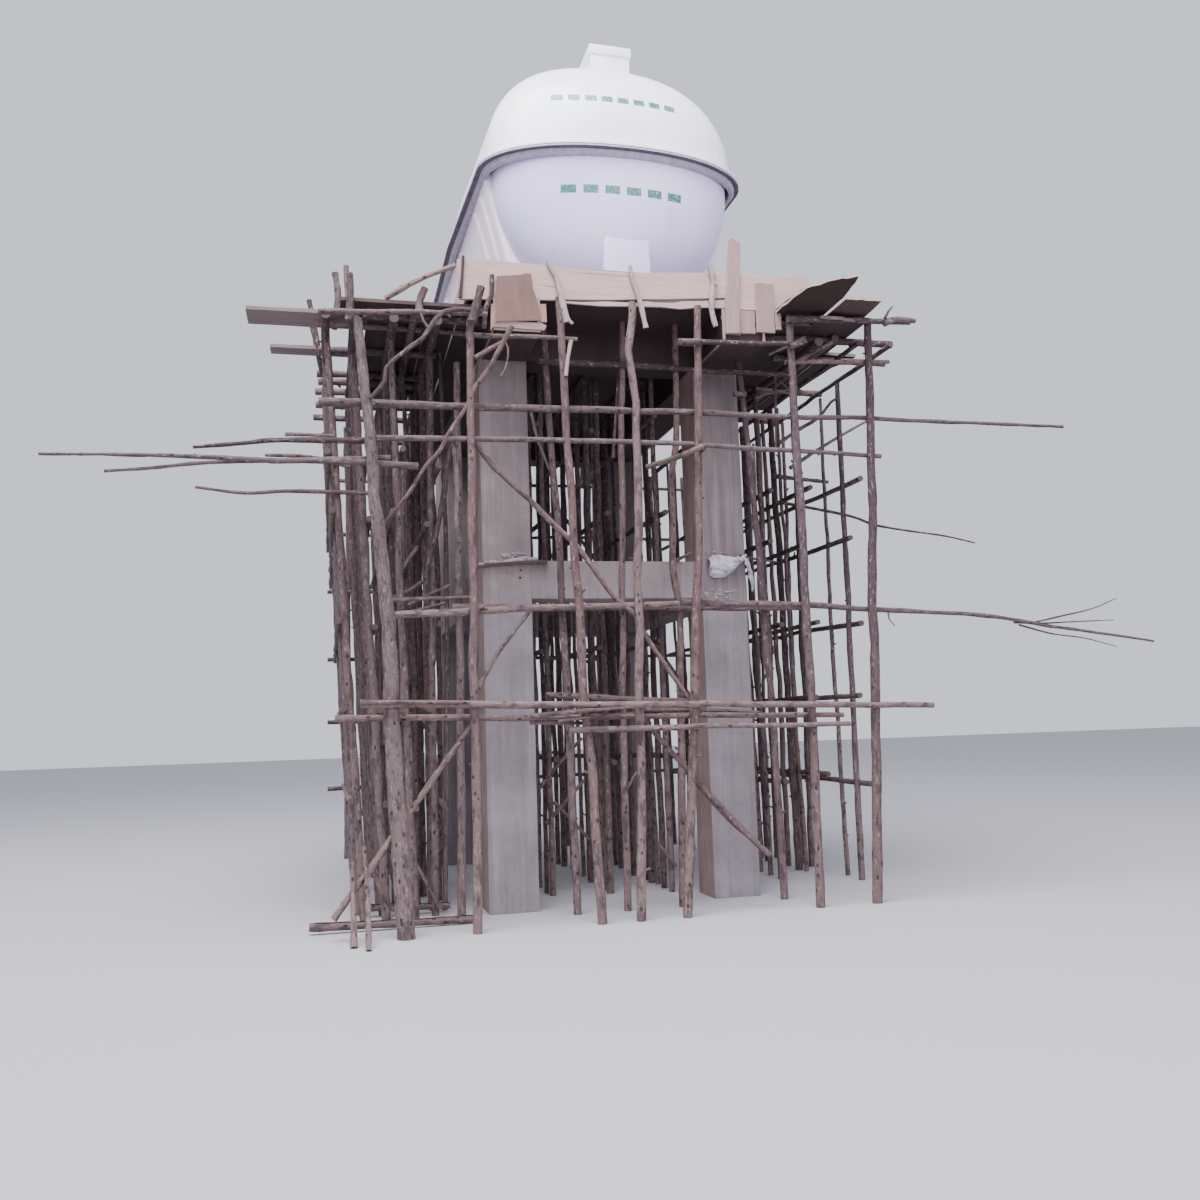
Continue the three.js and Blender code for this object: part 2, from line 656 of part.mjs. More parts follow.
function bowlEnd(wall, way, from) {
  const far = TANK_LENGTH;
  const y0 = Math.min(way * from, way * far);
  const y1 = Math.max(way * from, way * far);
  return toGeometry(cutTo(wall, block(-far, far, y0, y1, -far, 0)));
}

function buildTank() {
  const tank = new THREE.Group();
  const middleY = TANK_NOSE_Y + TANK_LENGTH / 2;
  const middleX = TANK_AXIS_X - (middleY - TANK_AXIS_Y) * Math.tan(TANK_TURN);
  tank.position.set(middleX, middleY, 0);
  tank.rotation.z = TANK_TURN;
  tower.add(tank);
  buildUpperShell(tank);
  buildRim(tank);
  buildLowerShell(tank);
}

function keepLargest(solid) {
  const bodies = solid.decompose();
  bodies.sort((a, b) => b.volume() - a.volume());
  return bodies[0];
}

// The leg under a bowl, cut to the bowl's round
function tankFoot(bowlOuter, way, bodyTop, bodyBottom) {
  const half = FOOT_WIDTH / 2;
  const near = way * (TANK_LENGTH / 2 - 190);
  const deep = way * (TANK_LENGTH / 2 - 560);
  const y0 = Math.min(near, deep);
  const y1 = Math.max(near, deep);
  const leg = toSolid(block(-half, half, y0, y1, bodyBottom, FOOT_TOP));
  const bowl = bowlOuter.translate([0, 0, bodyTop - SEAT_GAP]);
  return toGeometry(keepLargest(leg.subtract(bowl)));
}

// The lower body between its end bowls: sloping sides, rounded into a flat bottom, with end walls
function trough(halfLength, top, bottom) {
  const outer = toSolid(troughBody(halfLength, 0, top, bottom, 0));
  const inner = toSolid(troughBody(halfLength - TANK_WALL, TANK_WALL, top, bottom, 50));
  return outer.subtract(inner);
}

function troughBody(halfLength, inset, top, bottom, above) {
  const outline = troughOutline(inset, top, bottom);
  if (above > 0) {
    outline.push(new THREE.Vector2(outline[outline.length - 1].x, top + above));
    outline.push(new THREE.Vector2(outline[0].x, top + above));
  }
  const shape = new THREE.Shape(outline);
  const geometry = new THREE.ExtrudeGeometry(shape, { depth: 2 * halfLength, bevelEnabled: false });
  geometry.rotateX(Math.PI / 2);
  geometry.translate(0, halfLength, 0);
  return geometry;
}

function troughOutline(inset, top, bottom) {
  const topHalf = 1165 - inset;
  const kneeHalf = 930 - inset;
  const kneeHeight = bottom + 330;
  const floorHalf = 600;
  const floor = bottom + inset;
  const arcSteps = 4;
  const right = [new THREE.Vector2(topHalf, top)];
  for (let i = 0; i <= arcSteps; i += 1) {
    const turn = (Math.PI / 2) * (i / arcSteps);
    const x = floorHalf + (kneeHalf - floorHalf) * Math.cos(turn);
    const z = floor + (kneeHeight - floor) * (1 - Math.sin(turn));
    right.push(new THREE.Vector2(x, z));
  }
  const left = right.map((p) => new THREE.Vector2(-p.x, p.y)).reverse();
  return [...right, ...left];
}

const beams = buildFrame();
buildFormwork(beams);
buildPlatforms(beams);
buildFrontFrames();
buildRows();
buildBearers('left', LEFT_BEARERS, -1700);
buildBearers('right', RIGHT_BEARERS, 1850);
buildRearFrame();
buildLongRails();
buildTank();

// The origin sits under the middle of the whole tower, at ground level
tower.updateMatrixWorld(true);
const bounds = new THREE.Box3().setFromObject(tower, true);
const centre = bounds.getCenter(new THREE.Vector3());
tower.position.set(-centre.x, -centre.y, -bounds.min.z);
const scene = new THREE.Group();
scene.add(tower);
scene.updateMatrixWorld(true);

export default scene;
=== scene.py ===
# Looks of a water tank on a concrete frame that still stands in its boards and pole scaffold.
# Metres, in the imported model's frame: X across the front, Y towards the back, Z up.
import bmesh
import bpy
import math
import random
from mathutils import Matrix, Vector


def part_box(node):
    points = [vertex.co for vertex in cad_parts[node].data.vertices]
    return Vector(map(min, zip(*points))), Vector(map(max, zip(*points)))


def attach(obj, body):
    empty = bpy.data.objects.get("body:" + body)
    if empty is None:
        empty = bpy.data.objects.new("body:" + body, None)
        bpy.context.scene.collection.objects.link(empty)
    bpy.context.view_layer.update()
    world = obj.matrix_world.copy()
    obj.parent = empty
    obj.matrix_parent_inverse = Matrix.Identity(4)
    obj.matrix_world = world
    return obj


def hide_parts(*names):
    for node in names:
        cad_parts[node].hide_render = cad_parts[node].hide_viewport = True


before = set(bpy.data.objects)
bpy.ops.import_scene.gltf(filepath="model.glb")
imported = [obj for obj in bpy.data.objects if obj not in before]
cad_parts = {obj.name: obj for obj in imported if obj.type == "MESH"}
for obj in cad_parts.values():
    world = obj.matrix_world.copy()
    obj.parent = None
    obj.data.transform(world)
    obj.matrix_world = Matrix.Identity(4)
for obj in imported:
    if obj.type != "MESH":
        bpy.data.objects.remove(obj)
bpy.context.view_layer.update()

# The tower is set out from the middle between its front columns, on their front faces
COLUMN_SIDE = 0.4
HALF_FRAME = 1.137
FRAME_DEPTH = 3.823
front_left_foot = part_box("column_front_left")[0]
SET_OUT = Vector((front_left_foot.x + HALF_FRAME, front_left_foot.y, 0))

# Levels of the frame, from the ground up
TIE_BOTTOM = 2.498
TIE_TOP = 2.815
COLUMN_TOP = 4.53
DECK_UNDERSIDE = 4.7
DECK_TOP = 4.73
SOFFIT = 4.7967

# Tank
TANK_HALF_WIDTH = 1.27
TANK_LENGTH = 4.6
TANK_NOSE = 0.66
TANK_STRAIGHT = TANK_LENGTH / 2 - TANK_NOSE
TANK_MIDDLE = Vector((0.1067, 2.03, 0))
TANK_TURN = math.radians(1.6)
RIM_LIP = 0.08
RIM_TOP = 6.377
RIM_LOW = 6.343
DOME_RISE = 1.15
BARREL = 0.06
PLAN_ROUNDNESS = 2 / 2.2
BODY_TOP = 6.3427
BODY_BOTTOM = 5.0603
BOWL_HALF_WIDTH = 1.13
BOWL_ABOVE_SLAB = 0.06
TROUGH_HALF = 1.62
WALL = 0.014


def at(x, y, z):
    """A point of the tower's own setting-out, carried into the frame."""
    return SET_OUT + Vector((x, y, z))


# Handling pieces

def lay_down():
    """Leaves nothing selected, so that the next primitive stands alone."""
    for other in bpy.context.selected_objects:
        other.select_set(False)


def pick(*pieces):
    """Selects these pieces alone and makes the first one active."""
    lay_down()
    for piece in pieces:
        piece.select_set(True)
    bpy.context.view_layer.objects.active = pieces[0]


def settle(piece):
    """Puts a piece's place, turn and scale into its mesh."""
    pick(piece)
    bpy.ops.object.transform_apply(location=True, rotation=True, scale=True)
    return piece


def finish_modifiers(piece):
    pick(piece)
    for modifier in list(piece.modifiers):
        bpy.ops.object.modifier_apply(modifier=modifier.name)
    return piece


def copy_of(piece):
    twin = piece.copy()
    twin.data = piece.data.copy()
    bpy.context.scene.collection.objects.link(twin)
    return twin


def join(pieces):
    pick(*pieces)
    if len(pieces) > 1:
        bpy.ops.object.join()
    return bpy.context.view_layer.objects.active


def drop(piece):
    mesh = piece.data
    bpy.data.objects.remove(piece)
    bpy.data.meshes.remove(mesh)


def edit_mode(edges=False):
    """Opens a piece for work on its faces, or on its edges."""
    bpy.context.tool_settings.mesh_select_mode = (False, edges, not edges)
    bpy.ops.object.mode_set(mode="EDIT")


def select_all():
    bpy.ops.mesh.select_all(action="SELECT")


def object_mode():
    bpy.ops.object.mode_set(mode="OBJECT")


def close_outward():
    """Turns all faces of the open piece outward and closes it."""
    select_all()
    bpy.ops.mesh.normals_make_consistent(inside=False)
    object_mode()


def edit_only(piece, wanted, edges=False):
    """Opens a piece with only those faces, or edges, selected that pass the test."""
    mesh = piece.data
    for part in (*mesh.vertices, *mesh.edges, *mesh.polygons):
        part.select = False
    for part in mesh.edges if edges else mesh.polygons:
        part.select = wanted(part)
    pick(piece)
    edit_mode(edges)


def cut(spot, facing, **drop_side):
    """Cuts all of the open piece by a plane."""
    select_all()
    bpy.ops.mesh.bisect(plane_co=spot, plane_no=facing, **drop_side)


def extrude_by(x, y, z):
    bpy.ops.mesh.extrude_region_move(TRANSFORM_OT_translate={"value": (x, y, z)})


def flat_form(corners):
    """A flat form with these corners."""
    lay_down()
    bpy.ops.mesh.primitive_circle_add(vertices=len(corners), radius=1, fill_type="NGON")
    piece = bpy.context.object
    for vertex, corner in zip(piece.data.vertices, corners):
        vertex.co = corner
    return piece


def draw_out(piece, rings, edges=False):
    """Extrudes a flat form or an open ring again and again, each time to the next ring of points."""
    edit_mode(edges)
    select_all()
    for ring in rings:
        if edges:
            bpy.ops.mesh.extrude_edges_move()
        else:
            bpy.ops.mesh.extrude_region_move()
        mesh = bmesh.from_edit_mesh(piece.data)
        mesh.verts.index_update()
        fresh = sorted((vertex for vertex in mesh.verts if vertex.select), key=lambda vertex: vertex.index)
        for vertex, spot in zip(fresh, ring):
            vertex.co = spot


def block(low, high):
    """A box between two opposite corners."""
    low, high = Vector(low), Vector(high)
    lay_down()
    bpy.ops.mesh.primitive_cube_add(size=1, location=(low + high) / 2, scale=high - low)
    return settle(bpy.context.object)


def bevel(piece, width, segments, degrees=30):
    """Rounds the edges that are sharper than an angle."""
    modifier = piece.modifiers.new("arris", "BEVEL")
    modifier.width = width
    modifier.segments = segments
    modifier.limit_method = "ANGLE"
    modifier.angle_limit = math.radians(degrees)


def give_wall(piece, thickness):
    wall = piece.modifiers.new("wall", "SOLIDIFY")
    wall.thickness = thickness
    wall.offset = -1
    return finish_modifiers(piece)


def smooth(piece, degrees):
    pick(piece)
    bpy.ops.object.shade_smooth_by_angle(angle=math.radians(degrees))


def place_piece(piece, name, material, slot, *nodes):
    """Names a finished piece, gives it its material and puts it on the tower in place of its nodes."""
    piece.name = name
    piece.data.name = name
    if material:
        piece.data.materials.clear()
        piece.data.materials.append(material)
    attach(piece, "root")
    if nodes:
        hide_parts(*nodes)


# Materials

def colour(code):
    """An sRGB hex colour as linear red, green, blue and full opacity."""
    channels = [int(code[i:i + 2], 16) / 255 for i in (1, 3, 5)]
    linear = [c / 12.92 if c <= 0.04045 else ((c + 0.055) / 1.055) ** 2.4 for c in channels]
    return (*linear, 1.0)


def add_node(material, kind, inputs=None, stops=None, **settings):
    """Adds a node with its settings, and joins each named input to a socket or a value."""
    node = material.node_tree.nodes.new(kind)
    for name, value in settings.items():
        setattr(node, name, value)
    if stops:
        ramp = node.color_ramp
        while len(ramp.elements) < len(stops):
            ramp.elements.new(0.5)
        for element, (position, shade) in zip(ramp.elements, stops):
            element.position = position
            element.color = colour(shade) if isinstance(shade, str) else (shade, shade, shade, 1)
    for name, value in (inputs or {}).items():
        socket = node.inputs[name]
        if isinstance(value, bpy.types.NodeSocket):
            material.node_tree.links.new(value, socket)
        else:
            socket.default_value = value
    return node


MIX_FACTOR, MIX_A, MIX_B, MIX_RESULT = 0, 6, 7, 2


def new_material(name):
    material = bpy.data.materials.new(name)
    material.use_nodes = True
    material.node_tree.nodes.clear()
    return material


def mix(material, factor, a, b, blend="MIX"):
    node = add_node(material, "ShaderNodeMix", data_type="RGBA", blend_type=blend,
                    inputs={MIX_FACTOR: factor, MIX_A: a, MIX_B: b})
    return node.outputs[MIX_RESULT]


def close_material(material, base, roughness, height=None, depth=0.001, strength=0.6, coat=0.0):
    """Ends a material in its shader, with a bump where it has a height."""
    inputs = {"Base Color": base, "Roughness": roughness, "IOR": 1.5, "Coat Weight": coat}
    if height is not None:
        bump = add_node(material, "ShaderNodeBump",
                        inputs={"Height": height, "Distance": depth, "Strength": strength})
        inputs["Normal"] = bump.outputs["Normal"]
    shader = add_node(material, "ShaderNodeBsdfPrincipled", inputs=inputs)
    add_node(material, "ShaderNodeOutputMaterial", inputs={"Surface": shader.outputs["BSDF"]})
    return material


def stretched(material, place, stretch):
    return add_node(material, "ShaderNodeMapping", inputs={"Vector": place, "Scale": stretch}).outputs[0]


def object_point(material, along=1):
    """The place on the tower in metres, drawn out upwards where along is below one."""
    place = add_node(material, "ShaderNodeTexCoord").outputs["Object"]
    return stretched(material, place, (1, 1, along))


def grain_point(material, along=1):
    """The place on a piece of timber in its own metres, drawn out along it where along is below one."""
    place = add_node(material, "ShaderNodeAttribute", attribute_name="grain").outputs["Vector"]
    return stretched(material, place, (1, 1, along))


def timber_tone(material):
    return add_node(material, "ShaderNodeAttribute", attribute_name="tone").outputs["Fac"]


def noise(material, point, per_metre, detail=3.0, rough=0.55):
    node = add_node(material, "ShaderNodeTexNoise",
                    inputs={"Vector": point, "Scale": per_metre, "Detail": detail, "Roughness": rough})
    return node.outputs["Fac"]


def spots(material, point, per_metre):
    """Distance from the nearest of many scattered points."""
    node = add_node(material, "ShaderNodeTexVoronoi", feature="F1",
                    inputs={"Vector": point, "Scale": per_metre})
    return node.outputs["Distance"]


def ramp(material, factor, *stops):
    return add_node(material, "ShaderNodeValToRGB", stops=stops, inputs={"Fac": factor}).outputs["Color"]


def maths(material, operation, a, b=0.0):
    return add_node(material, "ShaderNodeMath", operation=operation, inputs={0: a, 1: b}).outputs[0]


def times(material, a, b):
    return maths(material, "MULTIPLY", a, b)


def along_axis(material, vector, axis):
    return add_node(material, "ShaderNodeSeparateXYZ", inputs={"Vector": vector}).outputs[axis]


def stain(material, base, code, mask, *stops):
    """Lays a colour over a base, as much as a mask read through the stops says."""
    return mix(material, ramp(material, mask, *stops), base, colour(code))


def figure(material, base, amount, mask, *stops):
    """Works a light and dark figure into a base."""
    return mix(material, amount, base, ramp(material, mask, *stops), "OVERLAY")


def make_weathered_bark():
    """Thin bark of young poles cut green and left to dry: mauve grey, flecked pale, with small dark knots."""
    m = new_material("weathered_bark")
    half_tone = times(m, timber_tone(m), 0.5)
    stock = ramp(m, half_tone, (0.0, "#4a3839"), (0.15, "#5e4e50"), (0.275, "#716262"), (0.39, "#6d5553"),
                 (0.5, "#7f6c69"), (1.0, "#ab8f88"))
    near_ground = times(m, along_axis(m, object_point(m), "Z"), 0.25)
    dusty = stain(m, stock, "#97827e", near_ground, (0.1, 0.42), (0.62, 0.0))
    fibre = noise(m, grain_point(m, 0.12), 120, 5.0, 0.7)
    fibred = figure(m, dusty, 0.45, fibre, (0.3, "#443b3f"), (0.7, "#aca1a2"))
    patches = noise(m, grain_point(m, 0.4), 48, 5.0, 0.7)
    flecked = stain(m, fibred, "#9d9194", patches, (0.56, 0.0), (0.64, 0.6))
    blotches = noise(m, grain_point(m, 0.45), 19, 4.0, 0.65)
    darkened = stain(m, flecked, "#382e32", blotches, (0.38, 0.7), (0.5, 0.0))
    base = stain(m, darkened, "#271d21", spots(m, grain_point(m, 0.62), 17.0), (0.13, 0.9), (0.22, 0.0))
    relief = maths(m, "ADD", fibre, times(m, patches, 1.2))
    return close_material(m, base, ramp(m, fibre, (0.3, 0.95), (0.7, 0.8)), relief, 0.006, 0.8)


def make_peeled_stick():
    """Sticks that have lost their bark: bleached, fine in the grain, with brown knots."""
    m = new_material("peeled_stick")
    fibre = noise(m, grain_point(m, 0.1), 130, 4.0, 0.65)
    wood = ramp(m, fibre, (0.32, "#6f5d5a"), (0.5, "#9b8a87"), (0.7, "#b0a29f"))
    base = stain(m, wood, "#4c3d3c", spots(m, grain_point(m, 0.6), 19.0), (0.13, 0.8), (0.22, 0.0))
    return close_material(m, base, 0.75, fibre, 0.003)


def make_sawn_end():
    """Saw and panga cuts across a pole: brown and weathered on dark poles, pale and dusty on light ones."""
    m = new_material("sawn_end")
    rings = noise(m, grain_point(m), 60)
    fresh = ramp(m, rings, (0.3, "#85766d"), (0.7, "#ad9c90"))
    aged = stain(m, fresh, "#554745", times(m, timber_tone(m), 0.5), (0.42, 1.0), (0.9, 0.0))
    return close_material(m, aged, 0.85, rings, 0.002)


def make_sawn_board(name, dark, middle, light, cement, cement_amount):
    """Rough-sawn formwork timber: straight grain, thin splits and cement stains."""
    m = new_material(name)
    grain = noise(m, grain_point(m, 0.05), 110, 5.0, 0.65)
    straight = ramp(m, grain, (0.28, dark), (0.5, middle), (0.74, light))
    toned = stain(m, straight, dark, timber_tone(m), (0.0, 0.0), (1.0, 0.45))
    clouds = noise(m, grain_point(m, 0.3), 4.5, 4.0, 0.65)
    stained = stain(m, toned, cement, clouds, (0.5, 0.0), (0.72, cement_amount))
    splits = noise(m, grain_point(m, 0.012), 26, 2.0, 0.5)
    split = stain(m, stained, "#453632", splits, (0.29, 0.6), (0.305, 0.0))
    return close_material(m, split, 0.8, grain, 0.0025, 0.55)


def make_cast_concrete():
    """Concrete struck from upright boards: warm grey above, darker on the right, paler and cooler below, with
    painted warm shade on left-facing faces, upright board marks, pale washes, dark streaks and pores."""
    m = new_material("cast_concrete")
    place = object_point(m)
    broad = noise(m, place, 1.6, 4.0, 0.6)
    warm = ramp(m, broad, (0.3, "#85797a"), (0.52, "#968c8c"), (0.75, "#a59c9c"))
    cool = ramp(m, broad, (0.3, "#8c858b"), (0.6, "#a19ba2"), (0.8, "#b0abb2"))
    # Darker towards the right
    darker_to_right = stain(m, warm, "#5f5556", along_axis(m, place, "X"), (0.5, 0.0), (0.62, 0.5))
    below = ramp(m, times(m, along_axis(m, place, "Z"), 0.2), (0.47, 0.75), (0.53, 0.0))
    face = mix(m, below, darker_to_right, cool)
    facing = add_node(m, "ShaderNodeNewGeometry").outputs["Normal"]
    # Faces turned to the left take a browner, pinker tint: painted warm shade, with light thrown back from
    # the boards
    leftward = ramp(m, times(m, along_axis(m, facing, "X"), -1.0), (0.5, 0.0), (0.8, 0.85))
    painted_warm_shade_left = mix(m, leftward, face, ramp(m, broad, (0.3, "#a68a87"), (0.7, "#bfa39d")))
    boards = noise(m, object_point(m, 0.02), 7.5, 2.0, 0.4)
    boarded = figure(m, painted_warm_shade_left, 0.25, boards, (0.3, "#6c6362"), (0.5, "#837a7b"), (0.7, "#a0999c"))
    washes = noise(m, object_point(m, 0.045), 13, 4.0, 0.6)
    washed = stain(m, boarded, "#b4b1b6", washes, (0.52, 0.0), (0.72, 0.32))
    streaks = noise(m, object_point(m, 0.06), 21, 4.0, 0.65)
    streaked = stain(m, washed, "#5d5555", streaks, (0.54, 0.0), (0.72, 0.34))
    clouds = noise(m, place, 7.5, 5.0, 0.65)
    mottled = figure(m, streaked, 0.3, clouds, (0.3, "#625c5d"), (0.7, "#a7a2a4"))
    pores = ramp(m, spots(m, place, 22.0), (0.05, 1.0), (0.11, 0.0))
    base = mix(m, times(m, pores, 0.5), mottled, colour("#544c4d"))
    sand = noise(m, place, 120, 3.0, 0.7)
    raised = maths(m, "ADD", times(m, boards, 1.4), times(m, sand, 0.3))
    return close_material(m, base, 0.88, maths(m, "SUBTRACT", raised, pores), 0.004, 0.5)


def make_mortar():
    """Set mortar dropped at the pour joint: pale, lumpy and gritty."""
    m = new_material("set_mortar")
    grit = noise(m, object_point(m), 42, 5.0, 0.7)
    shade = ramp(m, grit, (0.32, "#6e6162"), (0.55, "#9e9496"), (0.72, "#c4bdc1"))
    return close_material(m, shade, 0.9, grit, 0.008, 0.8)


def make_sack_paper():
    """Crumpled lining of an old cement sack: lilac white, with painted light and shade in soft clouds and
    painted shade in the creases, with sharp small folds.
    """
    m = new_material("crumpled_sack_paper")
    place = object_point(m)
    folds = spots(m, place, 26.0)
    painted_light_and_shade_clouds = noise(m, place, 16, 4.0, 0.65)
    # Light and shade painted in soft clouds, and painted shade in the creases
    shade = ramp(m, painted_light_and_shade_clouds, (0.32, "#8f8895"), (0.5, "#b5b0bc"), (0.7, "#cac6cf"))
    painted_crease_shade = stain(m, shade, "#807982", folds, (0.6, 0.0), (0.95, 0.5))
    return close_material(m, painted_crease_shade, 0.7, folds, 0.006)


def stencil_dashes(m, place, middle_x, half_width, low, high, dash, gap):
    """A level row of plain painted dashes on the front end: one inside the paint, nought outside."""
    across = maths(m, "SUBTRACT", along_axis(m, place, "X"), middle_x)
    turn = maths(m, "FRACT", times(m, maths(m, "ADD", across, half_width), 1 / (dash + gap)))
    painted = maths(m, "LESS_THAN", turn, dash / (dash + gap))
    inside = maths(m, "LESS_THAN", maths(m, "ABSOLUTE", across), half_width)
    off_level = maths(m, "ABSOLUTE", maths(m, "SUBTRACT", along_axis(m, place, "Z"), (low + high) / 2))
    level = maths(m, "LESS_THAN", off_level, (high - low) / 2)
    front = maths(m, "LESS_THAN", along_axis(m, place, "Y"), at(0, 0.9, 0).y)
    return times(m, times(m, painted, inside), times(m, level, front))


def make_gelcoat(name, light, shade, *dashes):
    """Gel coat on a glass-fibre laminate: satin white, faintly wavy, darker towards the foot with painted
    shade, with dusty runs and, where it is asked for, a row of worn green dashes."""
    m = new_material(name)
    place = object_point(m)
    soft = ramp(m, noise(m, place, 1.1, 3.0, 0.5), (0.35, shade), (0.65, light))
    # Darker lavender towards the foot: painted shade on the surfaces that face down
    above_slab = maths(m, "SUBTRACT", along_axis(m, place, "Z"), 5.0)
    painted_foot_shade = stain(m, soft, "#a195b0", above_slab, (0.2, 0.5), (0.72, 0.0))
    runs = noise(m, object_point(m, 0.08), 9, 4.0, 0.6)
    base = stain(m, painted_foot_shade, "#aba4a9", runs, (0.58, 0.0), (0.78, 0.22))
    if dashes:
        worn = ramp(m, noise(m, place, 60, 2.0, 0.6), (0.3, 0.6), (0.5, 1.0))
        base = mix(m, times(m, stencil_dashes(m, place, *dashes), worn), base, colour("#2f736b"))
    return close_material(m, base, 0.34, noise(m, place, 3.2, 2.0, 0.5), 0.012, 0.25, coat=0.25)


def make_moulding(name, per_metre, detail, dark, light, roughness, depth):
    """Plain laminate or plastic, clouded by dirt or chalk."""
    m = new_material(name)
    dirt = noise(m, object_point(m), per_metre, detail, 0.6)
    return close_material(m, ramp(m, dirt, (0.3, dark), (0.7, light)), roughness, dirt, depth)


BARK, CUT, PEELED = 0, 1, 2
timber = (make_weathered_bark(), make_sawn_end(), make_peeled_stick())
# Boards and sheets, from the pale edge boards to the nearly black sheets of the soffit and decks; the sheets
# are darkened with painted shade for the shade under the slab
pale_board = make_sawn_board("pale_formwork_board", "#a68c86", "#b89a94", "#c5a9a3", "#92807f", 0.5)
grey_board = make_sawn_board("grey_upright_board", "#886f6d", "#987f7b", "#a88f8c", "#7a6a6b", 0.5)
brown_board = make_sawn_board("brown_weathered_board", "#6a4f49", "#72574f", "#7b6058", "#563f3a", 0.7)
tan_board = make_sawn_board("tan_cheek_board", "#856859", "#977a6b", "#a88a7b", "#74635d", 0.4)
shade_darkened_sheet = make_sawn_board("soffit_sheet_darkened_by_painted_shade", "#281b1c", "#362728", "#483636", "#4c3b3b", 0.4)
shade_darkened_torn_sheet = make_sawn_board("splintered_sheet_darkened_by_painted_shade", "#21120f", "#31201c", "#42302b", "#3a2824", 0.4)
shade_darkened_worn_sheet = make_sawn_board("worn_brown_sheet_darkened_by_painted_shade", "#3b2a2a", "#4c3938", "#5d4846", "#62504e", 0.4)
grey_plank = make_sawn_board("weathered_grey_plank", "#5e4f4f", "#796a69", "#918281", "#665654", 0.5)
concrete = make_cast_concrete()
mortar = make_mortar()
sack_paper = make_sack_paper()
dome_gelcoat = make_gelcoat("dome_gelcoat", "#fbfcff", "#f1f4fb",
                            at(0.1, 0, 0).x, 0.57, 6.83, 6.895, 0.1, 0.045)
body_gelcoat = make_gelcoat("body_gelcoat", "#e2dcff", "#d6cfff",
                            at(0.12, 0, 0).x, 0.54, 5.975, 6.045, 0.13, 0.06)
# The trough's sides take a pinker copy of the gel coat: painted warm light thrown up from the ground into
# their shade
side_gelcoat_warm_bounce = make_gelcoat("side_gelcoat_warm_bounce", "#fdeefa", "#f3e2f3")
# The mastic line and the underside of the moulded flange: a dark joint, and on the underside painted shade
mastic_and_shade_grey = make_moulding("flange_underside", 14, 4.0, "#4c4454", "#6b6273", 0.6, 0.002)
# The laminated bead under the flange, pale grey resin
bead_grey = make_moulding("laminate_bead", 18, 3.0, "#9b93a8", "#b9b2c6", 0.5, 0.002)
# The cover on the dome, nearly white, satin and a little chalky
cover_white = make_moulding("chalky_cover", 8, 4.0, "#e6e9f5", "#f6f7ff", 0.5, 0.001)


# Timber stock

POLE_SIDES = 12
POST_RINGS = 46
RAIL_RINGS = 26
GRAIN_SPREAD = 40.0
KNOT_TONE = 0.2
LUMP_SHARE = 0.42
STICK_STEP = 0.07
STICK_SWELLS = (0.9, 1.14)
STUB_RADIUS = (0.009, 0.017)
STUB_REACHES = (0.006, 0.01, 0.014, 0.02, 0.04)
POLE_SMOOTH = 50
timber_dice = random.Random(7)


def mark_timber(piece, points, tone):
    """Keeps each point's place on its own timber, and the timber's tone, for the materials."""
    shift = Vector([timber_dice.uniform(0, GRAIN_SPREAD) for _ in range(3)])
    attributes = piece.data.attributes
    attributes.new("grain", "FLOAT_VECTOR", "POINT")
    attributes.new("tone", "FLOAT", "POINT")
    for i, point in enumerate(points):
        attributes["grain"].data[i].vector = point + shift
        attributes["tone"].data[i].value = tone


def mesh_points(piece):
    return [vertex.co.copy() for vertex in piece.data.vertices]


def skin_timber(piece, side=BARK, is_cut=lambda face: False):
    """Gives a length of timber its bark or bare wood and its cut ends."""
    for material in timber:
        piece.data.materials.append(material)
    for face in piece.data.polygons:
        face.material_index = CUT if is_cut(face) else side


def mark_sway(piece, amount_at):
    """Says how much each point of a length follows its bow and its wandering."""
    sway = piece.vertex_groups.new(name="sway")
    for vertex in piece.data.vertices:
        sway.add([vertex.index], amount_at(vertex), "REPLACE")


def round_stock(rings):
    """A round length, one metre long and one metre in radius, ringed so that it can bend."""
    lay_down()
    bpy.ops.mesh.primitive_cylinder_add(vertices=POLE_SIDES, radius=1, depth=1, location=(0, 0, 0.5))
    stock = settle(bpy.context.object)
    heights = [point.z for point in mesh_points(stock)]
    edit_only(stock, lambda edge: heights[edge.vertices[0]] != heights[edge.vertices[1]], edges=True)
    bpy.ops.mesh.subdivide(number_cuts=rings)
    object_mode()
    skin_timber(stock, BARK, lambda face: abs(face.normal.z) > 0.9)
    mark_sway(stock, lambda vertex: math.sin(math.pi * min(1, max(0, vertex.co.z))))
    skin = stock.vertex_groups.new(name="skin")
    skin.add(range(len(stock.data.vertices)), 1.0, "REPLACE")
    return stock


def knot_stock():
    """The stub of a trimmed side branch."""
    lay_down()
    bpy.ops.mesh.primitive_cone_add(vertices=7, radius1=1.0, radius2=0.62, depth=1, location=(0, 0, 0.5))
    stub = settle(bpy.context.object)
    skin_timber(stub)
    return stub


def cloud_texture(name, size, depth=1):
    texture = bpy.data.textures.new(name, type="CLOUDS")
    texture.noise_scale = size
    texture.noise_depth = depth
    return texture


wander_wide = cloud_texture("wander_wide", 0.75)
wander_short = cloud_texture("wander_short", 0.42)
lumps = cloud_texture("bark_lumps", 0.085, 2)
creases = cloud_texture("sack_creases", 0.035, 2)
post_stock = round_stock(POST_RINGS)
rail_stock = round_stock(RAIL_RINGS)
stub_stock = knot_stock()


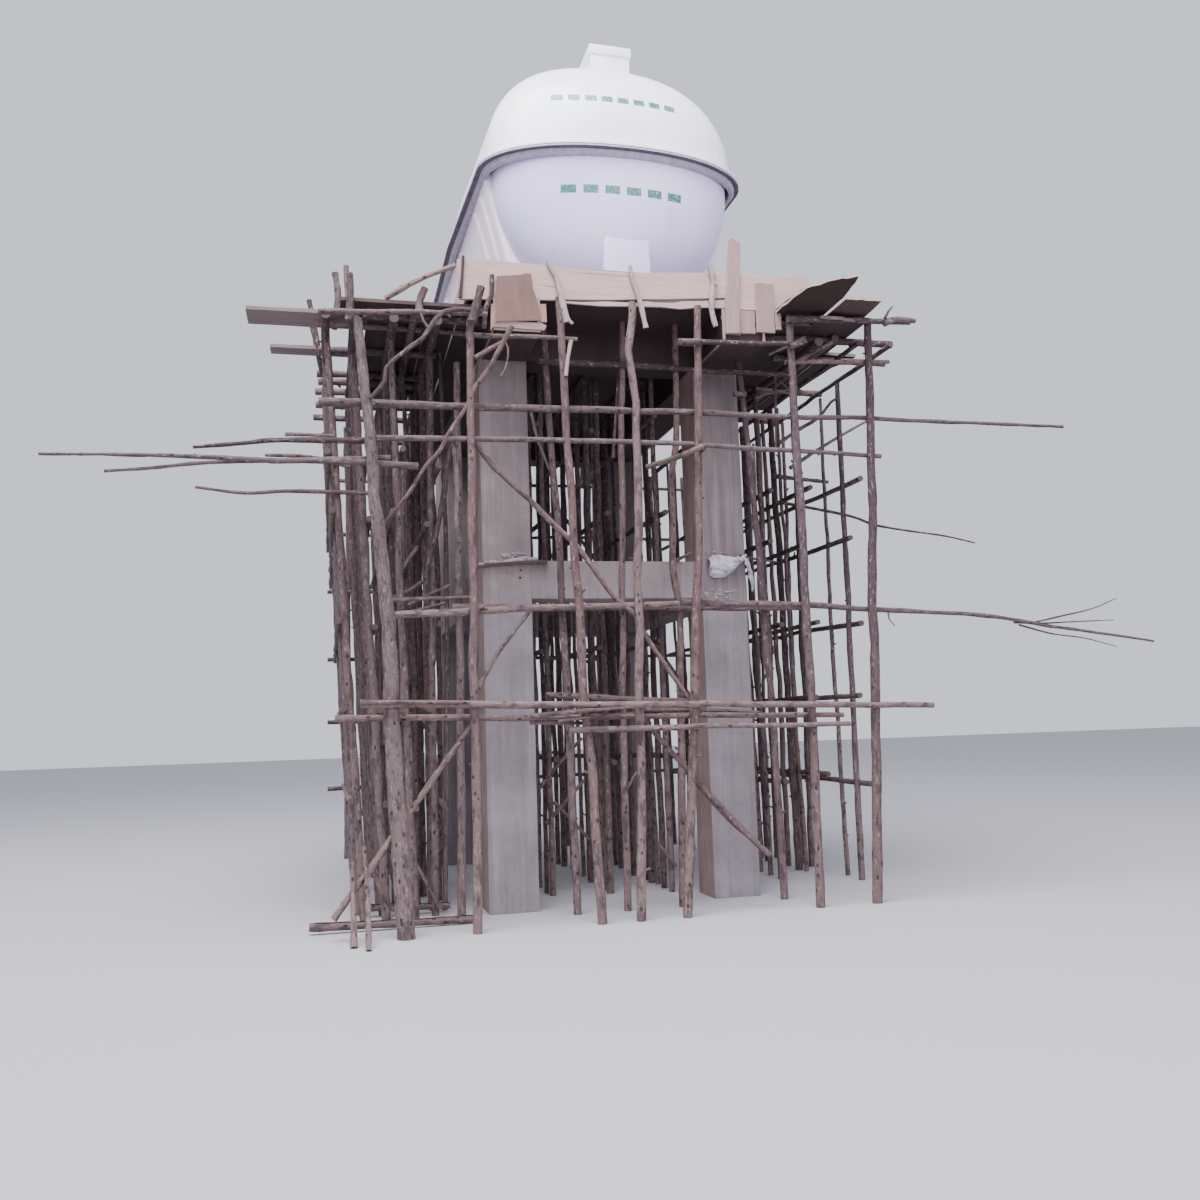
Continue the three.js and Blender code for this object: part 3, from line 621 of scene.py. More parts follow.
def shift_along(piece, axis, strength, texture=None, middle=0.5, group=""):
    """Shifts a piece along an axis, everywhere the same or as a texture in space says."""
    modifier = piece.modifiers.new("shift", "DISPLACE")
    modifier.direction = axis
    modifier.strength = strength
    modifier.mid_level = middle
    modifier.vertex_group = group
    if texture:
        modifier.texture = texture
        modifier.texture_coords = "GLOBAL"


def turned(direction, sideways):
    """The turn that brings up-pointing stock along a direction, with its bow to one side."""
    along = direction.normalized()
    across = (sideways - along * sideways.dot(along)).normalized()
    return Matrix((across, along.cross(across), along)).transposed().to_4x4()


def pole(foot, head, radius, thin=0.8, bow=0.0, sideways=(1, 0, 0), wander=0.05, stock=None, stubs=0,
         tone=None):
    """A natural pole from foot to head: tapered, bowed, wandering and lumpy, with trimmed stubs."""
    length = (head - foot).length
    piece = copy_of(stock or post_stock)
    piece.scale = (radius, radius, length)
    settle(piece)
    shade = timber_dice.random()
    mark_timber(piece, mesh_points(piece), shade if tone is None else tone)
    if stubs:
        piece = join([piece] + trimmed_stubs(length, radius, stubs))
    piece.matrix_world = Matrix.Translation(foot) @ turned(head - foot, Vector(sideways))
    taper = piece.modifiers.new("taper", "SIMPLE_DEFORM")
    taper.deform_method = "TAPER"
    taper.deform_axis = "Z"
    taper.factor = thin - 1
    if bow:
        shift_along(piece, "X", bow, middle=0.0, group="sway")
    shift_along(piece, "X", wander, wander_wide, 0.42, "sway")
    shift_along(piece, "Y", wander * 0.8, wander_short, 0.46, "sway")
    shift_along(piece, "NORMAL", radius * LUMP_SHARE, lumps, group="skin")
    finish_modifiers(piece)
    return settle(piece)


def trimmed_stubs(length, radius, count):
    """Branch stubs along an upright length, pointing up and out at any side and set to bend with it."""
    pieces = []
    for _ in range(count):
        share = timber_dice.uniform(0.06, 0.94)
        turn = timber_dice.uniform(0, math.tau)
        lean = Vector((math.cos(turn), math.sin(turn), timber_dice.uniform(0.2, 1.0)))
        stub = copy_of(stub_stock)
        thick = timber_dice.uniform(*STUB_RADIUS)
        reach = timber_dice.choice(STUB_REACHES)
        stub.scale = (thick, thick, radius + reach)
        settle(stub)
        mark_timber(stub, mesh_points(stub), timber_dice.uniform(0, KNOT_TONE))
        stub.matrix_world = Matrix.Translation((0, 0, share * length)) @ turned(lean, Vector((0, 0, 1)))
        settle(stub)
        mark_sway(stub, lambda vertex: math.sin(math.pi * share))
        pieces.append(stub)
    return pieces


def crook(piece, way):
    """Shifts a standing post to one side by the amounts given at heights."""
    for vertex in piece.data.vertices:
        for (low, before), (high, after) in zip(way, way[1:]):
            if low <= vertex.co.z < high:
                t = (vertex.co.z - low) / (high - low)
                vertex.co.x += before + (after - before) * t * t * (3 - 2 * t)
                break


def smooth_way(points, step):
    """Points about one step apart along a curve that runs through every given point."""
    way = []
    padded = [points[0] * 2 - points[1]] + points + [points[-1] * 2 - points[-2]]
    for before, here, there, after in zip(padded, padded[1:], padded[2:], padded[3:]):
        count = max(1, round((there - here).length / step))
        for i in range(count):
            t = i / count
            way.append((here * 2 + (there - before) * t + (before * 2 - here * 5 + there * 4 - after) * t * t
                        + (here * 3 - before - there * 3 + after) * t ** 3) / 2)
    return way + [points[-1]]


def ring_along(way, i, radius, sides):
    """A ring of points around one point of a way, square to it."""
    ahead = way[min(i + 1, len(way) - 1)] - way[max(i - 1, 0)]
    square = turned(ahead, Vector((0.31, 0.77, 0.56))).to_3x3()
    spokes = [math.tau * k / sides for k in range(sides)]
    return [way[i] + square @ Vector((math.cos(a), math.sin(a), 0)) * radius for a in spokes]


def branch(points, radius, tip=0.6, sides=8, side=BARK, tone=None):
    """A crooked branch with blunt ends, drawn out ring by ring through its points."""
    way = smooth_way([at(*point) for point in points], STICK_STEP)
    last = len(way) - 1
    rings = []
    for i in range(last + 1):
        swell = timber_dice.uniform(*STICK_SWELLS)
        rings.append(ring_along(way, i, radius * (1 + (tip - 1) * i / last) * swell, sides))
    piece = flat_form(rings[0])
    draw_out(piece, rings[1:])
    close_outward()
    along = (way[-1] - way[0]).normalized()
    turn = turned(along, along.orthogonal()).to_3x3().inverted()
    skin_timber(piece, side, lambda face: len(face.vertices) == sides)
    shade = timber_dice.random()
    local = [turn @ (point - way[0]) for point in mesh_points(piece)]
    mark_timber(piece, local, shade if tone is None else tone)
    return piece


# Concrete frame

FIN_HALF = 0.004
FIN_PROUD = 0.0014
BULGE_STEP = 0.14
ARRIS = 0.007
WEAR = 0.005
# Pits and tie holes in the front left column: x, z and radius
TIE_HOLES = ((-0.831, 2.672, 0.011), (-0.822, 2.735, 0.008), (-0.935, 2.71, 0.005), (-0.9, 2.705, 0.004))


def cut_along(axis, place, corner):
    """Cuts the open piece square to an axis at one place along it."""
    spot = list(corner)
    spot[axis] = place
    facing = [0, 0, 0]
    facing[axis] = 1
    cut(spot, facing)


def cast_block(low, high, bulging="XY", fins=()):
    """A cast member: worn arrises, slightly bulged faces and raised fins where boards met."""
    low, high = at(*low), at(*high)
    size = high - low
    piece = block(low, high)
    edit_mode()
    for fin in fins:
        for axis in (0, 1):
            for edge in (-FIN_HALF, FIN_HALF):
                cut_along(axis, low[axis] + fin * size[axis] + edge, low)
    longest = max(range(3), key=lambda i: size[i])
    count = max(2, int(size[longest] / BULGE_STEP))
    for i in range(1, count):
        cut_along(longest, low[longest] + size[longest] * i / count, low)
    object_mode()
    if fins:
        raise_fins(piece, low, size, fins)
    bevel(piece, ARRIS, 2, 60)
    for axis in bulging:
        shift_along(piece, axis, WEAR, wander_short)
    return finish_modifiers(piece)


def raise_fins(piece, low, size, fins):
    """Pushes the narrow strips between two cuts out by a few millimetres."""

    def on_fin(face):
        if abs(face.normal.z) > 0.5:
            return False
        axis = 0 if abs(face.normal.y) > 0.5 else 1
        share = (face.center[axis] - low[axis]) / size[axis]
        return any(abs(share - fin) * size[axis] < FIN_HALF * 1.05 for fin in fins)

    edit_only(piece, on_fin)
    bpy.ops.mesh.extrude_region_shrink_fatten(TRANSFORM_OT_shrink_fatten={"value": FIN_PROUD})
    object_mode()


def lump(x, y, z, size, flat):
    """A dollop of set mortar: a ball beaten out of round."""
    lay_down()
    bpy.ops.mesh.primitive_ico_sphere_add(subdivisions=2, radius=size, location=at(x, y, z),
                                          scale=(1.5, 0.8, flat))
    piece = settle(bpy.context.object)
    shift_along(piece, "NORMAL", size * 1.1, lumps)
    return finish_modifiers(piece)


def tie_hole(piece, x, z, radius):
    """A hole that a form tie left in a front face."""
    lay_down()
    bpy.ops.mesh.primitive_cylinder_add(vertices=10, radius=radius, depth=0.07, location=at(x, 0, z),
                                        rotation=(math.pi / 2, 0, 0))
    drift = settle(bpy.context.object)
    hole = piece.modifiers.new("hole", "BOOLEAN")
    hole.operation = "DIFFERENCE"
    hole.object = drift
    finish_modifiers(piece)
    drop(drift)


def build_mortar():
    """The batten left at the left pour joint with mortar set along it, and crumbs around both joints."""
    outline = [(-1.19, 2.736), (-1.1, 2.764), (-0.84, 2.783), (-0.603, 2.79), (-0.603, 2.815), (-0.72, 2.812),
               (-0.84, 2.806), (-1.09, 2.786), (-1.19, 2.758)]
    batten = cut_board(outline, "xz", -0.045, 0.0448, "x", shade_darkened_worn_sheet, grey_plank, 0.6)
    place_piece(batten, "stuck_batten", None, "sawn_board")
    between = timber_dice.uniform
    crumbs = []
    for i in range(15):
        share = i / 14
        z = 2.785 + 0.038 * share + between(-0.006, 0.01)
        crumbs.append(lump(-1.15 + 0.43 * share, -0.014, z, between(0.016, 0.03) * (0.7 + 0.6 * share), 0.8))
    # Loose crumbs: how many, span across, depth, span up, span of size, and flatness
    for count, across, y, up, size, flat in (
            (12, (-0.98, -0.76), -0.004, (2.84, 2.875), (0.01, 0.018), 0.7),
            (14, (0.77, 1.05), 0.002, (2.50, 2.58), (0.008, 0.016), 0.8),
            (8, (0.8, 1.02), -0.001, (2.885, 2.9), (0.005, 0.011), 0.8)):
        crumbs += [lump(between(*across), y, between(*up), between(*size), flat) for _ in range(count)]
    joint = join(crumbs)
    smooth(joint, 60)
    place_piece(joint, "set_mortar_crumbs", mortar, "concrete")


def build_frame():
    """Four columns and the four beams that tie them at half height."""
    outer, inner, back, tie = HALF_FRAME, HALF_FRAME - COLUMN_SIDE, FRAME_DEPTH, 0.3
    columns = {
        "front_left": (-outer, 0),
        "front_right": (inner, 0),
        "rear_left": (-outer, back - COLUMN_SIDE),
        "rear_right": (inner, back - COLUMN_SIDE),
    }
    for place, (x, y) in columns.items():
        column = cast_block((x, y, 0), (x + COLUMN_SIDE, y + COLUMN_SIDE, COLUMN_TOP), fins=(0.3, 0.62))
        if place == "front_left":
            for hole in TIE_HOLES:
                tie_hole(column, *hole)
        place_piece(column, "cast_column_" + place, concrete, "concrete", "column_" + place)
    ties = {
        "front": (-inner, inner, 0, tie),
        "rear": (-inner, inner, back - tie, back),
        "left": (-outer, -outer + tie, COLUMN_SIDE, back - COLUMN_SIDE),
        "right": (outer - tie, outer, COLUMN_SIDE, back - COLUMN_SIDE),
    }
    for place, (x0, x1, y0, y1) in ties.items():
        beam = cast_block((x0, y0, TIE_BOTTOM), (x1, y1, TIE_TOP), "YZ")
        if place == "front":
            patch = cast_block((-0.632, -0.0035, 2.515), (-0.521, 0.05, 2.785))
            beam = join([beam, patch])
        place_piece(beam, "cast_tie_" + place, concrete, "concrete", "tie_beam_" + place)


# Scraps of a cement sack caught on a stick at the right column

def share_of(line, share):
    """The place at a share of a line of evenly counted points."""
    spot = share * (len(line) - 1)
    i = min(int(spot), len(line) - 2)
    return [a + (b - a) * (spot - i) for a, b in zip(line[i], line[i + 1])]


def rag(name, top, low, belly, pleats, across, down):
    """A scrap hung by its upper edge: it bellies out, is pleated towards one end, and is crumpled."""
    lay_down()
    bpy.ops.mesh.primitive_grid_add(x_subdivisions=across, y_subdivisions=down, size=2)
    piece = bpy.context.object
    for vertex in piece.data.vertices:
        u, v = (vertex.co.x + 1) / 2, (1 - vertex.co.y) / 2
        (x0, y0, z0), (x1, y1, z1) = share_of(top, u), share_of(low, u)
        folded = math.sin(math.tau * 4.5 * v + 3 * math.sin(5 * u))
        out = belly * 4 * v * (1 - v) + pleats * (0.3 + 0.7 * u) * folded
        vertex.co = at(x0 + (x1 - x0) * v, y0 + (y1 - y0) * v - out, z0 + (z1 - z0) * v)
    shift_along(piece, "NORMAL", 0.035, lumps)
    shift_along(piece, "NORMAL", 0.012, creases)
    give_wall(piece, 0.0012)
    smooth(piece, 50)
    place_piece(piece, name, sack_paper, None)


def build_sack():
    """A wide scrap that hangs over the stick and a narrow tail beside it."""
    top = [(0.8, -0.012, 2.835), (0.84, -0.014, 2.868), (0.9, -0.014, 2.872), (0.99, -0.014, 2.86),
           (1.07, -0.016, 2.858), (1.118, -0.03, 2.868)]
    low = [(0.8, -0.012, 2.75), (0.808, -0.014, 2.69), (0.85, -0.016, 2.67), (0.94, -0.016, 2.68),
           (1.03, -0.016, 2.735), (1.112, -0.02, 2.815)]
    rag("sack_scrap", top, low, 0.045, 0.006, 44, 26)
    top = [(1.12, -0.02, 2.86), (1.16, 0.0, 2.85), (1.185, 0.02, 2.85)]
    low = [(1.175, -0.02, 2.6), (1.2, 0.0, 2.55), (1.212, 0.0, 2.59)]
    rag("sack_tail", top, low, 0.012, 0.004, 10, 26)


# Tank

def plan_point(angle, half_width, nose, straight):
    """A point of the tank's plan: a rounded end on straight sides, slightly barrelled."""
    c, s = math.cos(angle), math.sin(angle)
    x = half_width * math.copysign(abs(c) ** PLAN_ROUNDNESS, c)
    end = 0 if abs(s) < 1e-6 else math.copysign(1, s)
    y = nose * end * abs(s) ** PLAN_ROUNDNESS + end * straight
    return x * (1 - BARREL * (y / (TANK_LENGTH / 2)) ** 2), y


def swelled(half_width, rise, fullness, nose_at_top=TANK_NOSE - RIM_LIP):
    """A ball drawn out to the tank's plan and swelled to its section, in the tank's own layout."""
    nose = TANK_NOSE - RIM_LIP
    lay_down()
    bpy.ops.mesh.primitive_uv_sphere_add(segments=96, ring_count=56, radius=1)
    form = bpy.context.object
    for vertex in form.data.vertices:
        nx, ny, nz = vertex.co
        spread = min(1, math.hypot(nx, ny)) ** (2 / fullness)
        height = math.copysign(min(1, abs(nz)) ** (2 / fullness), nz) * rise
        if spread < 1e-3:
            vertex.co = (0, 0, height)
            continue
        straight = TANK_STRAIGHT - (nose_at_top - nose) * (1 - spread)
        angle = math.atan2(0 if abs(ny) < 1e-6 else ny, nx)
        vertex.co = (*plan_point(angle, half_width * spread, nose * spread, straight), height)
    return form


def cut_away(piece, spot, facing):
    """Cuts a form by a plane and drops the side that the plane faces."""
    pick(piece)
    edit_mode()
    cut(spot, facing, clear_outer=True)
    object_mode()


def lift(piece, height):
    piece.location.z = height
    return settle(piece)


def place_moulding(pieces, name, material, node, slot="tank_shell", degrees=40):
    """Joins mouldings and carries them from the tank's own layout to their place on the slab."""
    whole = join(pieces)
    whole.matrix_world = Matrix.Translation(SET_OUT + TANK_MIDDLE) @ Matrix.Rotation(TANK_TURN, 4, "Z")
    smooth(settle(whole), degrees)
    place_piece(whole, name, material, slot, node)


def plan_ring(section):
    """A closed moulding that follows the tank's plan: each section point is an inset and a height."""
    lay_down()
    bpy.ops.mesh.primitive_circle_add(vertices=160, radius=1)
    piece = bpy.context.object
    angles = [math.atan2(point.y, point.x) for point in mesh_points(piece)]
    rings = []
    for inset, height in section:
        plan = [plan_point(a, TANK_HALF_WIDTH - inset, TANK_NOSE - inset, TANK_STRAIGHT) for a in angles]
        rings.append([(x, y, height) for x, y in plan])
    for vertex, spot in zip(piece.data.vertices, rings[0]):
        vertex.co = spot
    draw_out(piece, rings[1:], edges=True)
    bpy.ops.mesh.select_all(action="DESELECT")
    mesh = bmesh.from_edit_mesh(piece.data)
    for edge in mesh.edges:
        edge.select = edge.is_boundary
    bmesh.update_edit_mesh(piece.data)
    bpy.ops.mesh.bridge_edge_loops()
    close_outward()
    return piece


def build_dome():
    """The upper shell: one smooth dome with its flange turned out at the foot."""
    dome = swelled(TANK_HALF_WIDTH - RIM_LIP, DOME_RISE, fullness=2.25, nose_at_top=1.0)
    cut_away(dome, (0, 0, 0), (0, 0, -1))
    give_wall(dome, WALL)
    lift(dome, RIM_TOP)
    section = [(0.004, 0.012), (0.0, 0.008), (0.0, 0.0005), (0.094, 0.0005), (0.094, 0.03), (0.076, 0.03),
               (0.062, 0.016)]
    lip = plan_ring([(inset, RIM_TOP + height) for inset, height in section])
    place_moulding([dome, lip], "moulded_dome", dome_gelcoat, "tank_upper_shell")


def build_rim():
    """The lower flange: a white edge, a dark mastic line, an underside darkened with painted shade and a pale
    bead.
    """
    edge = [(0.0, 0.0), (0.0, -0.009), (0.006, -0.0105), (0.006, -0.0135), (0.0, -0.015)]
    under = [(0.0, 0.004), (0.004, 0.0), (0.1, 0.0)]
    flange = plan_ring([(inset, RIM_TOP + height) for inset, height in edge]
                       + [(inset, RIM_LOW + height) for inset, height in under] + [(0.1, RIM_TOP)])
    section = [(0.045, 0.001), (0.05, -0.028), (0.064, -0.046), (0.085, -0.052), (0.1, -0.05), (0.1, 0.001)]
    bead = plan_ring([(inset, RIM_LOW + height) for inset, height in section])
    white, mastic_and_shade, resin = 0, 1, 2
    for face in flange.data.polygons:
        height = face.center.z
        # The mastic line is a dark joint; the underside's darkness is painted shade
        mastic = RIM_TOP - 0.0149 < height < RIM_TOP - 0.0091
        if mastic or height < RIM_LOW + 0.0035:
            face.material_index = mastic_and_shade
        else:
            face.material_index = resin if height < RIM_TOP - 0.015 else white
    for face in bead.data.polygons:
        face.material_index = resin
    for part in (flange, bead):
        for material in (dome_gelcoat, mastic_and_shade_grey, bead_grey):
            part.data.materials.append(material)
    place_moulding([flange, bead], "moulded_flange", None, "tank_rim_flange")


def trough_outline():
    """Half of the trough's section, from the rim down its sloping side and round to the floor."""
    top_half, knee_half, floor_half, knee_rise, steps = 1.165, 0.93, 0.6, 0.33, 12
    drop_to_knee = BODY_BOTTOM + knee_rise - BODY_TOP
    points = [(top_half + (knee_half - top_half) * i / 9, BODY_TOP + drop_to_knee * i / 9) for i in range(9)]
    for i in range(steps + 1):
        turn = math.pi / 2 * i / steps
        x = floor_half + (knee_half - floor_half) * math.cos(turn)
        points.append((x, BODY_BOTTOM + knee_rise * (1 - math.sin(turn))))
    return points


def build_trough():
    """The middle of the lower shell: sloping sides, rounded floor, end walls and stiffening ribs."""
    half = trough_outline()
    outline = half + [(-x, z) for x, z in reversed(half)]
    body = flat_form([(x, -TROUGH_HALF, z) for x, z in outline])
    edit_mode()
    select_all()
    extrude_by(0, 2 * TROUGH_HALF, 0)
    close_outward()
    edit_only(body, lambda face: face.normal.z > 0.9)
    bpy.ops.mesh.delete(type="FACE")
    object_mode()
    bevel(body, 0.05, 4, 70)
    finish_modifiers(body)
    give_wall(body, WALL)
    ribs = [rib(side, y) for side in (-1, 1) for y in (-1.36, -1.04, -0.16, 0.16, 1.04, 1.36)]
    place_moulding([body] + ribs, "moulded_trough", side_gelcoat_warm_bounce, "tank_lower_shell", degrees=35)


def rib(side, y):
    """One upright stiffening rib, laid over the trough's side from the bead to the floor."""
    path = [(x, z) for x, z in trough_outline() if z < BODY_TOP - 0.02]
    width, proud, sides = 0.052, 0.026, 10
    turns = [math.tau * i / sides for i in range(sides)]
    rings = []
    for here, ahead in zip(path, path[1:] + [(path[-1][0] - 0.1, path[-1][1])]):
        way = Vector((ahead[0] - here[0], ahead[1] - here[1])).normalized()
        rings.append([(side * (here[0] - way.y * math.sin(turn) * proud), y + math.cos(turn) * width,
                       here[1] + way.x * math.sin(turn) * proud) for turn in turns])
    piece = flat_form(rings[0])
    draw_out(piece, rings[1:])
    close_outward()
    return piece


def build_bowls():
    """The rounded ends of the lower shell, each on a squared foot."""
    rise = BODY_TOP - BODY_BOTTOM - BOWL_ABOVE_SLAB
    for place, way in (("front", -1), ("rear", 1)):
        bowl = swelled(BOWL_HALF_WIDTH, rise, fullness=2.05)
        cut_away(bowl, (0, 0, 0), (0, 0, 1))
        cut_away(bowl, (0, way * (TROUGH_HALF - 0.01), 0), (0, -way, 0))
        give_wall(bowl, WALL)
        lift(bowl, BODY_TOP)
        place_moulding([bowl], f"moulded_{place}_bowl", body_gelcoat, f"tank_{place}_bowl")
        place_moulding([tank_foot(way)], f"moulded_{place}_foot", body_gelcoat, f"tank_{place}_foot")


def tank_foot(way):
    """A squared foot moulded to the bowl, drawn in slightly towards the top, with rounded corners."""
    half, near, deep, top = 0.22, 2.11, 1.74, 5.66
    y0, y1 = sorted((way * near, way * deep))
    foot = block((-half, y0, BODY_BOTTOM), (half, y1, top))
    edit_only(foot, lambda face: face.normal.z > 0.9)
    bpy.ops.transform.resize(value=(0.92, 1, 1))
    object_mode()
    bevel(foot, 0.025, 4)
    return finish_modifiers(foot)


def build_hatch():
    """The cover on the dome: a squared box with a lid that overlaps it, its top sunk in a shallow panel."""
    x, y, half, overlap, top = 0.09, -1.31, 0.2025, 0.015, 7.8
    inner = half - overlap
    box = block((x - inner, y - inner, 7.305), (x + inner, y + inner, 7.755))
    lid = block((x - half, y - half, top - 0.09), (x + half, y + half, top))
    edit_only(lid, lambda face: face.normal.z > 0.9)
    bpy.ops.mesh.inset(thickness=0.035, depth=0.0)
    extrude_by(0, 0, -0.012)
    object_mode()
    whole = join([lid, box])
    bevel(whole, 0.014, 3)
    finish_modifiers(whole)
    place_moulding([whole], "moulded_hatch_cover", cover_white, "tank_hatch_box", "hatch_shell")


# Formwork and platforms

BOARD = 0.025
FRONT_FACE = -0.6993
BACK_FACE = 4.5513
CLEAR = 0.0003
BOARD_CHIPS = 0.0035
BOARD_ARRIS = 0.002
SHEET = 0.02


def cut_board(outline, axes, near, thick, along, faces, edges=None, tone=None):
    """A board or sheet cut to an outline on two axes; near and thick lie on the third."""
    first, second = ("xyz".index(name) for name in axes)
    third = 3 - first - second
    corners = []
    for a, b in outline:
        place = [near, near, near]
        place[first] = a
        place[second] = b
        corners.append(at(*place))
    piece = flat_form(corners)
    step = [0, 0, 0]
    step[third] = thick
    edit_mode()
    select_all()
    extrude_by(*step)
    close_outward()
    for face in piece.data.polygons:
        face.material_index = 0 if abs(face.normal[third]) > 0.9 else 1
    length = "xyz".index(along)
    a, b = (axis for axis in range(3) if axis != length)
    local = [Vector((point[a], point[b], point[length])) for point in mesh_points(piece)]
    mark_timber(piece, local, timber_dice.random() if tone is None else tone)
    piece.data.materials.append(faces)
    piece.data.materials.append(edges or faces)
    bevel(piece, BOARD_ARRIS, 1, 60)
    return finish_modifiers(piece)


def worn_edge(start, end, count, depth):
    """Points along an edge that has split and chipped, from a start up to but not at its end."""
    run, rise = end[0] - start[0], end[1] - start[1]
    reach = math.hypot(run, rise)
    points = []
    for i in range(count):
        share = (i + (timber_dice.uniform(-0.3, 0.3) if i else 0)) / count
        slip = (timber_dice.uniform(-depth, depth) if i else 0) / reach
        points.append((start[0] + run * share - rise * slip, start[1] + rise * share + run * slip))
    return points


def worn_outline(corners, chips, depth):
    """An outline whose sides are chipped: as many points on each side as chips says."""
    outline = []
    for corner, after, count in zip(corners, corners[1:] + corners[:1], chips):
        outline += worn_edge(corner, after, count, depth)
    return outline


def rectangle(a0, a1, b0, b1):
    return [(a0, b0), (a1, b0), (a1, b1), (a0, b1)]


def long_board(x0, x1, y0, y1, z0, z1, along, faces, edges=None, tone=None):
    """A plain sawn board with slightly wavy edges and broken ends."""
    chips = {"x": (7, 3, 7, 3), "y": (3, 9, 3, 9), "z": (3, 5, 3, 5)}[along]
    if along == "z":
        outline = worn_outline(rectangle(x0, x1, z0, z1), chips, BOARD_CHIPS)
        return cut_board(outline, "xz", y0, y1 - y0, along, faces, edges, tone)
    outline = worn_outline(rectangle(x0, x1, y0, y1), chips, BOARD_CHIPS)
    return cut_board(outline, "xy", z0, z1 - z0, along, faces, edges, tone)


def place_boards(pieces, name, node, slot="sawn_board"):
    place_piece(join(pieces), name, None, slot, node)


def build_front_board():
    """The two lapped boards along the slab's front edge, the split strip below them and an end batten."""
    left = [(-1.37, 4.735), (-1.08, 4.753), (-0.8, 4.768), (-0.59, 4.777), (-0.585, 5.05), (-0.67, 5.058),
            (-0.76, 5.055), (-1.074, 5.069), (-1.2, 5.067), (-1.385, 5.054)]
    right = [(-0.59, 4.782), (-0.258, 4.8), (0.073, 4.826), (0.409, 4.851), (0.796, 4.885), (0.8, 4.795)]
    right += worn_edge((1.2, 4.795), (1.548, 5.05), 9, 0.007)
    right += [(1.552, 5.06), (1.533, 5.13), (1.512, 5.108), (1.49, 5.128), (1.46, 5.112), (1.42, 5.12),
              (1.379, 5.102), (1.112, 5.092), (0.86, 5.089), (0.624, 5.087), (0.32, 5.066), (0.081, 5.045),
              (-0.1, 5.04), (-0.266, 5.041), (-0.42, 5.045), (-0.59, 5.05)]
    strip = [(-0.6, 4.757), (-0.42, 4.752), (-0.259, 4.749), (-0.05, 4.76), (0.07, 4.765), (0.25, 4.772),
             (0.406, 4.765), (0.577, 4.789), (0.79, 4.796), (0.8, 4.868), (0.6, 4.842), (0.42, 4.83),
             (0.36, 4.812), (0.2, 4.806), (0.12, 4.812), (0.04, 4.793), (-0.2, 4.789), (-0.4, 4.772),
             (-0.6, 4.766)]
    batten = [(-1.383, 4.742), (-1.352, 4.742), (-1.34, 4.9), (-1.327, 5.078), (-1.349, 5.08), (-1.36, 4.9)]
    pieces = [cut_board(batten, "xz", FRONT_FACE - 0.022, 0.0215, "z", shade_darkened_sheet, brown_board, 0.5),
              cut_board(left, "xz", FRONT_FACE, BOARD, "x", pale_board, tone=0.35),
              cut_board(right, "xz", FRONT_FACE, BOARD, "x", pale_board, tone=0.1),
              cut_board(strip, "xz", FRONT_FACE - 0.004, 0.02, "x", pale_board, tone=0.0)]
    place_boards(pieces, "front_edge_boards", "formwork_front_board")


def build_edge_boards():
    """The boards along the slab's other three edges, each in two lengths."""
    low, high = SOFFIT, 5.068
    left, right = -1.3083, 1.4433
    back = [long_board(x0, x1, BACK_FACE - BOARD, BACK_FACE, low, high, "z", pale_board, tone=tone)
            for x0, x1, tone in ((left, 0.2, 0.5), (0.204, right + BOARD, 0.8))]
    place_boards(back, "rear_edge_boards", "formwork_rear_board")
    for side, x in (("left", left), ("right", right)):
        pieces = []
        for y0, y1, tone in ((-0.674, 1.8, 0.6), (1.804, 4.526, 0.9)):
            outline = worn_outline(rectangle(y0, y1, low, high), (9, 2, 9, 2), 0.004)
            pieces.append(cut_board(outline, "yz", x, BOARD, "y", pale_board, tone=tone))
        place_boards(pieces, side + "_edge_boards", f"formwork_{side}_board")


BOX_WIDE = 0.3706
BOX_FLOOR = 4.505
BOX_TOP = SOFFIT - CLEAR


def build_beam_boxes():
    """Boxes of short boards around the ends of the deck beams, the two front ones as they are boarded up."""
    ends = (("front", FRONT_FACE, -CLEAR, FRONT_FACE),
            ("rear", FRAME_DEPTH + CLEAR, BACK_FACE, BACK_FACE - BOARD))
    floor = BOX_FLOOR + BOARD
    for end, y0, y1, end_face in ends:
        for side, x in (("left", -1.1123), ("right", 0.7617)):
            pieces = [long_board(x, x + BOX_WIDE, y0, y1, BOX_FLOOR, floor, "y", shade_darkened_sheet, grey_board, 0.2)]
            for near in (x, x + BOX_WIDE - BOARD):
                outline = worn_outline(rectangle(y0, y1, floor, BOX_TOP), (4, 2, 4, 2), 0.003)
                pieces.append(cut_board(outline, "yz", near, BOARD, "y", shade_darkened_sheet, grey_board, 0.3))
            pieces += odd_pieces(end_face) if (end, side) == ("front", "left") else box_end(end, x, end_face)
            place_boards(pieces, f"beam_box_boards_{end}_{side}", f"beam_box_{end}_{side}")


